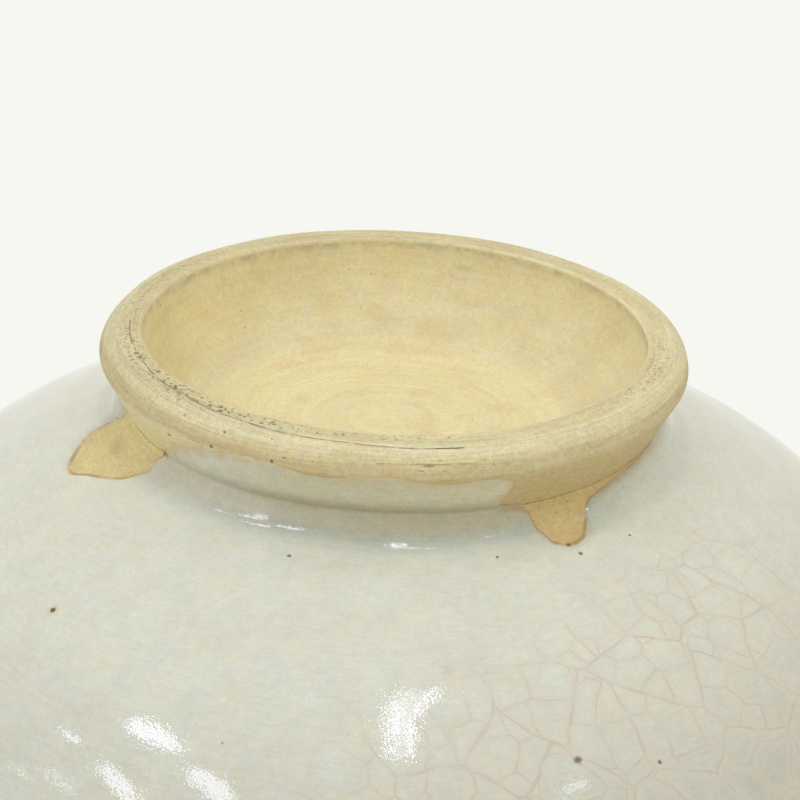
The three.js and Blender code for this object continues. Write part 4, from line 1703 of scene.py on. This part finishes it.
@dataclass
class InnerGlaze(Piece):
    """The glaze inside, from the lip to the tea well, with soft throwing rings."""

    node: ClassVar[str] = "inner_glaze"
    slot: ClassVar[Slot] = Slot.GLAZE
    columns: int = 300
    rows: int = 96
    block: int = 4
    ring_pitch: float = 7.5  # between two throwing rings
    ring_height: float = 0.1
    relief: Ripple = Ripple(0.08, 24, 7.0, 41)
    calm_lip: Fade = Fade(1.0, 9.0)  # lengths over which the relief dies away
    calm_well: Fade = Fade(0.5, 6.0)
    depth: float = 0.6  # of the hidden side
    reach_start: float = 90.0  # stored at the lip, beyond any reach outside
    spread_start: float = 200.0
    sharp: float = 60.0  # degrees

    def build(self) -> bpy.types.Object:
        """Makes the shell.

        Returns:
            The shell's object.
        """
        face = stretch(self.form.inside(), self.rows)
        along = lengths_along(face)
        azimuths = around(self.columns)
        azimuth, distance = np.broadcast_arrays(azimuths[:, None], along)
        spiral = np.sin(np.radians(distance / self.ring_pitch * 360 + azimuth))
        rings = self.ring_height * spiral + self.relief.over(azimuth, distance)
        from_lip = ease(distance, self.calm_lip.start, self.calm_lip.end)
        to_well = ease(along[-1] - distance, self.calm_well.start, self.calm_well.end)
        grid = self.form.sag(turned(face, azimuths, rings * (from_lip * to_well)))
        hidden = self.form.sag(turned(face[::self.block], azimuths[::self.block], -self.depth))
        parts = MeshParts()
        skin = parts.add_points(grid, {
            Mark.REACH: self.reach_start + distance, Mark.BORDER: DEEP_IN_GLAZE,
            Mark.SPREAD: self.spread_start + spread_along(face, CRACK_GIRTH),
        })
        back = parts.add_points(hidden, {
            Mark.REACH: self.reach_start, Mark.BORDER: DEEP_IN_GLAZE, Mark.SPREAD: self.spread_start,
        })
        parts.add_grid(skin[:, :-1])
        parts.add_pole(skin[:, -2], int(skin[0, -1]))
        parts.add_grid(back[:, :-1], flip=True)
        parts.add_pole(back[:, -2], int(back[0, -1]), flip=True)
        for i in range(len(back)):
            columns = np.arange(i * self.block, (i + 1) * self.block + 1) % len(skin)
            right = (i + 1) % len(back)
            parts.faces.append([*skin[columns[::-1], 0].tolist(), int(back[i, 0]), int(back[right, 0])])
        return parts.build("glaze_inside", self.sharp)


class Outline(Enum):
    """The shapes of a flat lamp."""

    ROUND = "ELLIPSE"
    SQUARE = "RECTANGLE"


@dataclass(frozen=True)
class Softbox:
    """A flat lamp that faces the bowl from one direction."""

    name: str
    towards: Place  # from the foot to the lamp
    length: float  # degrees that it spans, along its long side
    width: float
    brightness: float
    long_side: Place = (0.0, 1.0, 0.0)
    mirrored: bool = True  # whether it shows in the glaze
    distance: float = 8000.0
    colour: Colour = (0.88, 0.92, 1.18)
    outline: Outline = Outline.ROUND

    def build(self) -> None:
        """Makes the lamp."""
        lamp = bpy.data.lights.new(self.name, "AREA")
        lamp.shape = self.outline.value
        away = self.distance * METRES
        lamp.size = 2 * away * math.tan(math.radians(self.length / 2))
        lamp.size_y = 2 * away * math.tan(math.radians(self.width / 2))
        filled = math.pi / 4 if self.outline is Outline.ROUND else 1.0
        lamp.energy = self.brightness * math.pi * lamp.size * lamp.size_y * filled
        lamp.color = self.colour
        holder = bpy.data.objects.new(self.name, lamp)
        back = Vector(self.towards).normalized()
        side = Vector(self.long_side)
        side = (side - side.dot(back) * back).normalized()
        turn = Matrix((side, back.cross(side), back)).transposed()
        holder.matrix_world = Matrix.Translation(back * away) @ turn.to_4x4()
        holder.visible_camera = False
        holder.visible_glossy = self.mirrored
        bpy.context.scene.collection.objects.link(holder)


@dataclass(frozen=True)
class Studio:
    """Camera, lamps, floor and surroundings."""

    camera_place: Place = (0.0, -313.688, -131.147)
    camera_target: Place = (-0.734, 0.0, 7.575)
    camera_roll: float = -2.417  # degrees that the picture's up leans from the inverted vertical
    view_angle: float = 13.205
    backdrop: Colour = (0.922, 0.930, 0.880)
    ambient: float = 0.65
    floor_drop: float = 0.15  # under the resting face, so that the two don't touch
    floor_radius: float = 1400.0
    sensor_width: float = 36.0
    clip_start: float = 0.01  # metres
    floor_corners: int = 96
    floor_patches: float = 60.0  # size of the floor's faint patches
    floor_shade: float = 0.98  # how dark they are
    floor_roughness: float = 0.8
    floor_melts: Fade = Fade(180.0, 700.0)  # distances over which it melts into the surroundings
    softboxes: tuple[Softbox, ...] = (
        Softbox("lamp_foot_edge_left", (-0.027, -0.322, -0.946), 20.0, 1.4, 14.0, (-0.04, 0.95, -0.32)),
        Softbox("lamp_foot_edge_top", (-0.112, -0.189, -0.976), 10.4, 1.4, 14.0, (-0.18, 0.97, -0.17)),
        Softbox("lamp_foot_edge_right", (-0.098, -0.376, -0.921), 13.7, 1.3, 14.0, (-0.06, -0.92, 0.38)),
        Softbox("lamp_foot_middle", (-0.062, -0.313, -0.948), 21.7, 4.5, 3.6, (-0.05, 0.95, -0.31)),
        Softbox("lamp_left_1", (0.590, -0.284, -0.756), 11.9, 4.3, 9.5, (-0.43, -0.90, 0.0)),
        Softbox("lamp_left_2", (0.787, -0.189, -0.588), 6.3, 2.0, 9.0, (-0.36, -0.92, -0.18)),
        Softbox("lamp_left_3", (0.913, -0.198, -0.356), 3.7, 1.2, 5.0, (-0.19, -0.98, 0.05)),
        Softbox("lamp_left_4", (0.850, -0.321, -0.418), 7.5, 2.3, 4.0, (-0.35, -0.94, 0.0)),
        Softbox("lamp_left_5", (0.710, -0.443, -0.548), 11.1, 4.4, 8.0, (-0.36, -0.90, 0.26)),
        Softbox("lamp_left_6", (0.479, -0.547, -0.686), 11.9, 4.7, 8.0, (-0.53, -0.80, 0.27)),
        Softbox("lamp_right", (-0.541, -0.476, -0.693), 5.5, 2.2, 5.0, (-0.52, 0.84, -0.17)),
        Softbox("lamp_foot_fill", (0.0, 0.0, -1.0), 60, 60, 0.47, mirrored=False, colour=SOFT_WHITE),
        Softbox("lamp_right_fill", (-0.9, -0.3, -0.1), 50, 50, 0.3, mirrored=False, colour=SOFT_WHITE),
        Softbox("lamp_mouth_fill", (-0.3, -0.4, 0.87), 60, 60, 0.5, mirrored=False, colour=SOFT_WHITE),
        Softbox(
            "lamp_mouth_window", (0.45, -0.5, 0.74), 24, 14, 5.0, (1.0, 0.9, 0.0),
            outline=Outline.SQUARE,
        ),
    )

    def build(self) -> None:
        """Makes everything round the bowl."""
        self.build_camera()
        self.build_world()
        self.build_floor()
        for softbox in self.softboxes:
            softbox.build()
        bpy.context.scene.view_settings.view_transform = "Standard"

    def build_camera(self) -> None:
        """Makes the camera. It looks up at the foot, with the picture's up towards the ground."""
        data = bpy.data.cameras.new("camera")
        data.sensor_width = self.sensor_width
        data.lens = data.sensor_width / 2 / math.tan(math.radians(self.view_angle / 2))
        data.clip_start = self.clip_start
        camera = bpy.data.objects.new("camera", data)
        place, target = Vector(self.camera_place), Vector(self.camera_target)
        ahead = (target - place).normalized()
        ground = Vector((0.0, 0.0, -1.0))
        level_up = (ground - ground.dot(ahead) * ahead).normalized()
        up = Matrix.Rotation(math.radians(self.camera_roll), 3, ahead) @ level_up
        turn = Matrix((ahead.cross(up), up, -ahead)).transposed()
        camera.matrix_world = Matrix.Translation(place * METRES) @ turn.to_4x4()
        bpy.context.scene.collection.objects.link(camera)
        bpy.context.scene.camera = camera

    def build_world(self) -> None:
        """Makes surroundings that look pale and light the bowl softly."""
        world = bpy.data.worlds.new("surroundings")
        world.use_nodes = True
        bpy.context.scene.world = world
        made = Recipe(world.node_tree)
        rays = made.add("ShaderNodeLightPath").outputs
        seen = made.math("MAXIMUM", rays["Is Camera Ray"], rays["Is Glossy Ray"])
        seen = made.math("MAXIMUM", seen, rays["Is Transmission Ray"])
        soft = made.add("ShaderNodeBackground", {"Color": SOFT_WHITE, "Strength": self.ambient})
        pale = made.add("ShaderNodeBackground", {"Color": self.backdrop, "Strength": 1.0})
        both = made.add("ShaderNodeMixShader", {0: seen, 1: soft.outputs[0], 2: pale.outputs[0]})
        made.join(both.outputs[0], world.node_tree.nodes["World Output"].inputs[0])

    def build_floor(self) -> None:
        """Makes a pale floor that shows only from above and melts into the surroundings."""
        mesh = bpy.data.meshes.new("floor")
        angles = np.linspace(0, 2 * math.pi, self.floor_corners, endpoint=False)
        rim = np.c_[np.cos(angles), np.sin(angles)] * self.floor_radius
        points = np.c_[rim, np.full(len(rim), -self.floor_drop)] * METRES
        mesh.from_pydata(points.tolist(), [], [list(range(len(rim)))])
        floor = bpy.data.objects.new("floor", mesh)
        bpy.context.scene.collection.objects.link(floor)
        material, made, shader = new_material("pale_floor")
        where = made.place()
        shaded = tuple(self.floor_shade * part for part in self.backdrop)
        tone = made.mix(made.noise(where, self.floor_patches, 3), self.backdrop, shaded)
        made.join(tone, shader.inputs["Base Color"])
        shader.inputs["Roughness"].default_value = self.floor_roughness
        shader.inputs["Specular IOR Level"].default_value = 0.0
        away = made.add("ShaderNodeVectorMath", {0: where}, operation="LENGTH").outputs["Value"]
        from_below = made.add("ShaderNodeNewGeometry").outputs["Backfacing"]
        clear = made.math("MAXIMUM", from_below, made.fade(away, self.floor_melts))
        through = made.add("ShaderNodeBsdfTransparent")
        both = made.add("ShaderNodeMixShader", {0: clear, 1: shader.outputs[0], 2: through.outputs[0]})
        made.join(both.outputs[0], material.node_tree.nodes["Material Output"].inputs[0])
        mesh.materials.append(material)
        floor.visible_diffuse = floor.visible_glossy = False
        floor.visible_transmission = floor.visible_shadow = False


@dataclass
class TeaBowl:
    """The whole bowl and its finishes."""

    form: BowlForm = field(default_factory=BowlForm.from_frame)
    border: GlazeBorder = field(default_factory=GlazeBorder)

    def on_clay(self, azimuth: float, radius: float, height: float) -> Place:
        """Returns a place from azimuth, radius and height."""
        angle = math.radians(azimuth)
        return radius * math.cos(angle), radius * math.sin(angle), height

    def on_glaze(self, azimuth: float, radius: float) -> Place:
        """Returns the place on the glazed face at an azimuth and a radius."""
        face = joined(self.form.shoulder(), self.form.belly()[0])
        return self.on_clay(azimuth, radius, float(np.interp(radius, face[:, 0], face[:, 1])))

    def clay_lines(self) -> list[FineLine]:
        """Returns the scratches and streaks that run round the ring."""
        return [
            FineLine("scratch_long", (
                (-0.8, 1.28), (-11.7, 1.30), (-23.6, 1.36), (-33.4, 1.71), (-45.3, 1.74), (-50.9, 2.21),
                (-59.0, 2.30), (-65.6, 2.61), (-81.6, 2.59), (-94.2, 2.84), (-103.8, 2.88),
            ), 0.1, 0.9, 0.3),
            FineLine("scratch_deep", ((-98.4, 2.86), (-104.3, 2.9)), 0.1, 0.85, 0.1),
            FineLine("scratch_inner", (
                (-38.7, 1.28), (-47.9, 2.06), (-55.1, 2.21), (-64.0, 2.36), (-71.9, 2.44),
            ), 0.085, 0.8),
            FineLine("scratch_outer", (
                (-33.7, 1.91), (-44.3, 2.40), (-51.9, 2.75), (-56.3, 2.80),
            ), 0.08, 0.55, 0.42),
            FineLine("streak_pale", (
                (-91.8, 3.21), (-107.0, 3.33), (-119.4, 3.26), (-135.0, 2.67), (-148.5, 2.68),
            ), 0.2, 0.3, 0.3, (0.92, 0.86, 0.64), -0.02),
            FineLine("streak_dark", (
                (-87.5, 4.47), (-96.0, 4.42), (-106.4, 4.54),
            ), 0.1, 0.6, 0.3, (0.34, 0.22, 0.10)),
        ]

    def clay_spots(self) -> list[Spot]:
        """Returns the brown spots, streaks and stains on the bare clay."""
        dark, brown = (0.20, 0.16, 0.09), (0.24, 0.14, 0.05)
        rust, orange = (0.55, 0.29, 0.09), (0.74, 0.47, 0.24)
        olive, tan, ochre = (0.38, 0.30, 0.11), (0.58, 0.42, 0.19), (0.80, 0.61, 0.28)
        rows = (  # azimuth, radius and height of the place, then size, colour, strength, softness, stretch
            # corner of the left mark and the foot's side
            ((-36.0, 26.4, 7.3), 0.75, rust, 0.7, 0.8, 1.0),
            ((-35.7, 26.45, 7.4), 0.33, brown, 0.95, 0.5, 1.0),
            ((-43.4, 28.54, 3.46), 0.24, brown, 0.9, 0.5, 1.4),
            ((-55.1, 29.0, 2.55), 0.24, brown, 0.9, 0.5, 1.2),
            ((-51.0, 28.95, 2.6), 0.22, tan, 0.6, 0.9, 9.0),
            ((-68.1, 28.99, 2.32), 0.24, brown, 0.9, 0.5, 1.0),
            ((-70.5, 28.99, 2.6), 0.22, orange, 0.6, 0.9, 7.0),
            ((-70.5, 28.9, 1.78), 0.1, dark, 0.8, 0.5, 3.0),
            ((-77.1, 28.66, 1.2), 0.1, dark, 0.6, 0.5, 1.0),
            ((-75.9, 28.88, 1.72), 0.09, dark, 0.5, 0.5, 1.5),
            ((-57.4, 28.48, 0.91), 0.19, dark, 0.8, 0.6, 1.2),
            ((-47.3, 28.38, 0.79), 0.17, dark, 0.55, 0.6, 1.3),
            ((-67.2, 28.12, 0.54), 0.12, dark, 0.7, 0.5, 1.0),
            ((-28.2, 26.42, 7.54), 0.12, rust, 0.7, 0.5, 1.5),
            ((-18.3, 28.02, 9.92), 1.5, tan, 0.45, 0.95, 1.5),
            ((-19.2, 27.9, 9.8), 0.14, rust, 0.6, 0.6, 1.5),
            # streaks over the foot's front
            ((-97.1, 28.76, 1.39), 0.16, olive, 0.9, 0.5, 4.6),
            ((-95.7, 28.92, 1.85), 0.1, olive, 0.8, 0.5, 4.0),
            ((-100.0, 28.93, 1.89), 0.09, olive, 0.7, 0.5, 4.5),
            ((-99.2, 28.53, 0.98), 0.13, brown, 0.5, 0.7, 2.0),
            ((-107.6, 28.61, 1.1), 0.13, olive, 0.5, 0.8, 6.0),
            ((-102.5, 28.85, 1.6), 0.3, orange, 0.35, 0.9, 8.0),
            ((-83.7, 28.93, 1.9), 0.2, orange, 0.6, 0.8, 6.0),
            ((-74.5, 28.99, 2.4), 0.35, orange, 0.45, 0.9, 6.0),
            ((-77.9, 28.97, 2.7), 0.2, olive, 0.4, 0.9, 4.0),
            ((-94.2, 28.7, 3.1), 0.75, tan, 0.8, 0.85, 1.4),
            ((-100.7, 28.86, 2.91), 0.17, tan, 0.8, 0.8, 9.0),
            ((-112.9, 27.8, 4.8), 1.1, tan, 0.7, 0.9, 1.3),
            ((-110.5, 28.9, 2.85), 0.3, tan, 0.7, 0.9, 5.0),
            # resting face and recess
            ((-101.9, 25.66, 0.0), 0.17, dark, 0.85, 0.5, 1.0),
            ((-38.8, 25.24, 0.0), 0.24, dark, 0.6, 0.7, 1.4),
            ((-42.4, 25.4, 0.0), 0.27, dark, 0.6, 0.7, 1.6),
            ((-174.9, 26.37, 0.0), 0.19, dark, 0.65, 0.6, 1.2),
            ((-170.6, 26.92, 0.0), 0.16, dark, 0.5, 0.7, 2.0),
            ((-165.7, 27.17, 0.05), 0.14, dark, 0.5, 0.7, 1.4),
            ((-163.2, 25.56, 0.0), 0.2, dark, 0.45, 0.8, 2.0),
            ((-151.3, 25.6, 0.0), 0.24, dark, 0.6, 0.7, 1.2),
            ((-146.8, 26.43, 0.0), 0.16, dark, 0.5, 0.6, 1.0),
            ((-153.5, 26.69, 0.0), 0.14, dark, 0.35, 0.8, 4.0),
            ((16.3, 24.7, 1.31), 0.2, dark, 0.5, 0.7, 1.5),
            ((106.7, 24.34, 2.46), 0.5, tan, 0.5, 0.9, 3.2),
            ((83.2, 23.75, 3.68), 0.12, dark, 0.7, 0.5, 1.0),
            ((44.8, 22.56, 5.31), 0.13, dark, 0.6, 0.5, 1.0),
            ((132.0, 19.85, 7.64), 0.1, tan, 0.5, 0.8, 20.0),
            ((143.0, 19.75, 7.7), 0.1, tan, 0.5, 0.8, 20.0),
            ((166.1, 20.17, 7.44), 1.8, ochre, 0.5, 1.0, 1.3),
            # mark of the right finger
            ((-124.9, 29.6, 10.85), 0.27, brown, 0.9, 0.5, 1.4),
            ((-129.0, 26.73, 8.04), 0.14, brown, 0.5, 0.6, 1.0),
            ((-122.5, 28.2, 9.5), 0.8, orange, 0.45, 0.9, 1.0),
        )
        return [
            Spot(self.on_clay(*place), radius, colour, strength, softness, stretch)
            for place, radius, colour, strength, softness, stretch in rows
        ]

    def glaze_spots(self) -> list[Spot]:
        """Returns the iron specks and blotches in the glaze."""
        dark, olive, halo = (0.12, 0.12, 0.09), (0.13, 0.11, 0.02), (0.55, 0.50, 0.24)
        red, rust, brown = (0.62, 0.42, 0.30), (0.55, 0.33, 0.14), (0.30, 0.17, 0.07)
        return [
            Spot(self.on_clay(-37.9, 26.9, 6.95), 0.85, rust, 0.6, 0.9),
            Spot(self.on_clay(-37.5, 26.88, 7.0), 0.42, brown, 0.9, 0.6),
            Spot(self.on_glaze(-44.3, 42.73), 0.85, halo, 0.6, 0.9),
            Spot(self.on_glaze(-44.3, 42.73), 0.36, olive),
            Spot(self.on_glaze(-73.0, 30.48), 0.26, dark, 0.8),
            Spot(self.on_glaze(-110.0, 29.91), 0.2, dark, 0.8),
            Spot(self.on_glaze(-125.4, 31.19), 0.28, dark, 0.9),
            Spot(self.on_glaze(-137.1, 31.16), 0.2, dark, 0.8),
            Spot(self.on_glaze(-111.5, 48.55), 0.47, dark, 0.85, 0.7, 1.3),
            Spot(self.on_glaze(-120.6, 49.69), 0.26, dark, 0.8),
            Spot(self.on_glaze(-98.2, 41.01), 1.1, red, 0.38, 1.0),
            Spot(self.on_glaze(-73.2, 47.91), 0.2, dark, 0.7, 0.9),
        ]

    def build(self) -> None:
        """Makes and dresses every piece."""
        lines = self.clay_lines()
        clay = ClayFinish("buff_clay", self.clay_spots(), lines).material()
        glaze = GlazeFinish("crackled_glaze", self.glaze_spots()).material()
        makers = (
            (FootRing(self.form, self.border, lines), clay),
            (BowlBody(self.form, self.border), clay),
            (OuterGlaze(self.form, self.border), glaze),
            (InnerGlaze(self.form), glaze),
        )
        for maker, material in makers:
            piece = maker.build()
            maker.dress(piece, material)
            log.info("%s: %d faces, stands for %s", piece.name, len(piece.data.polygons), maker.node)


def main() -> None:
    """Builds the bowl and the studio in order."""
    logging.basicConfig(level=logging.INFO, format="%(message)s")
    Studio().build()
    TeaBowl().build()


if __name__ == "__main__":
    main()
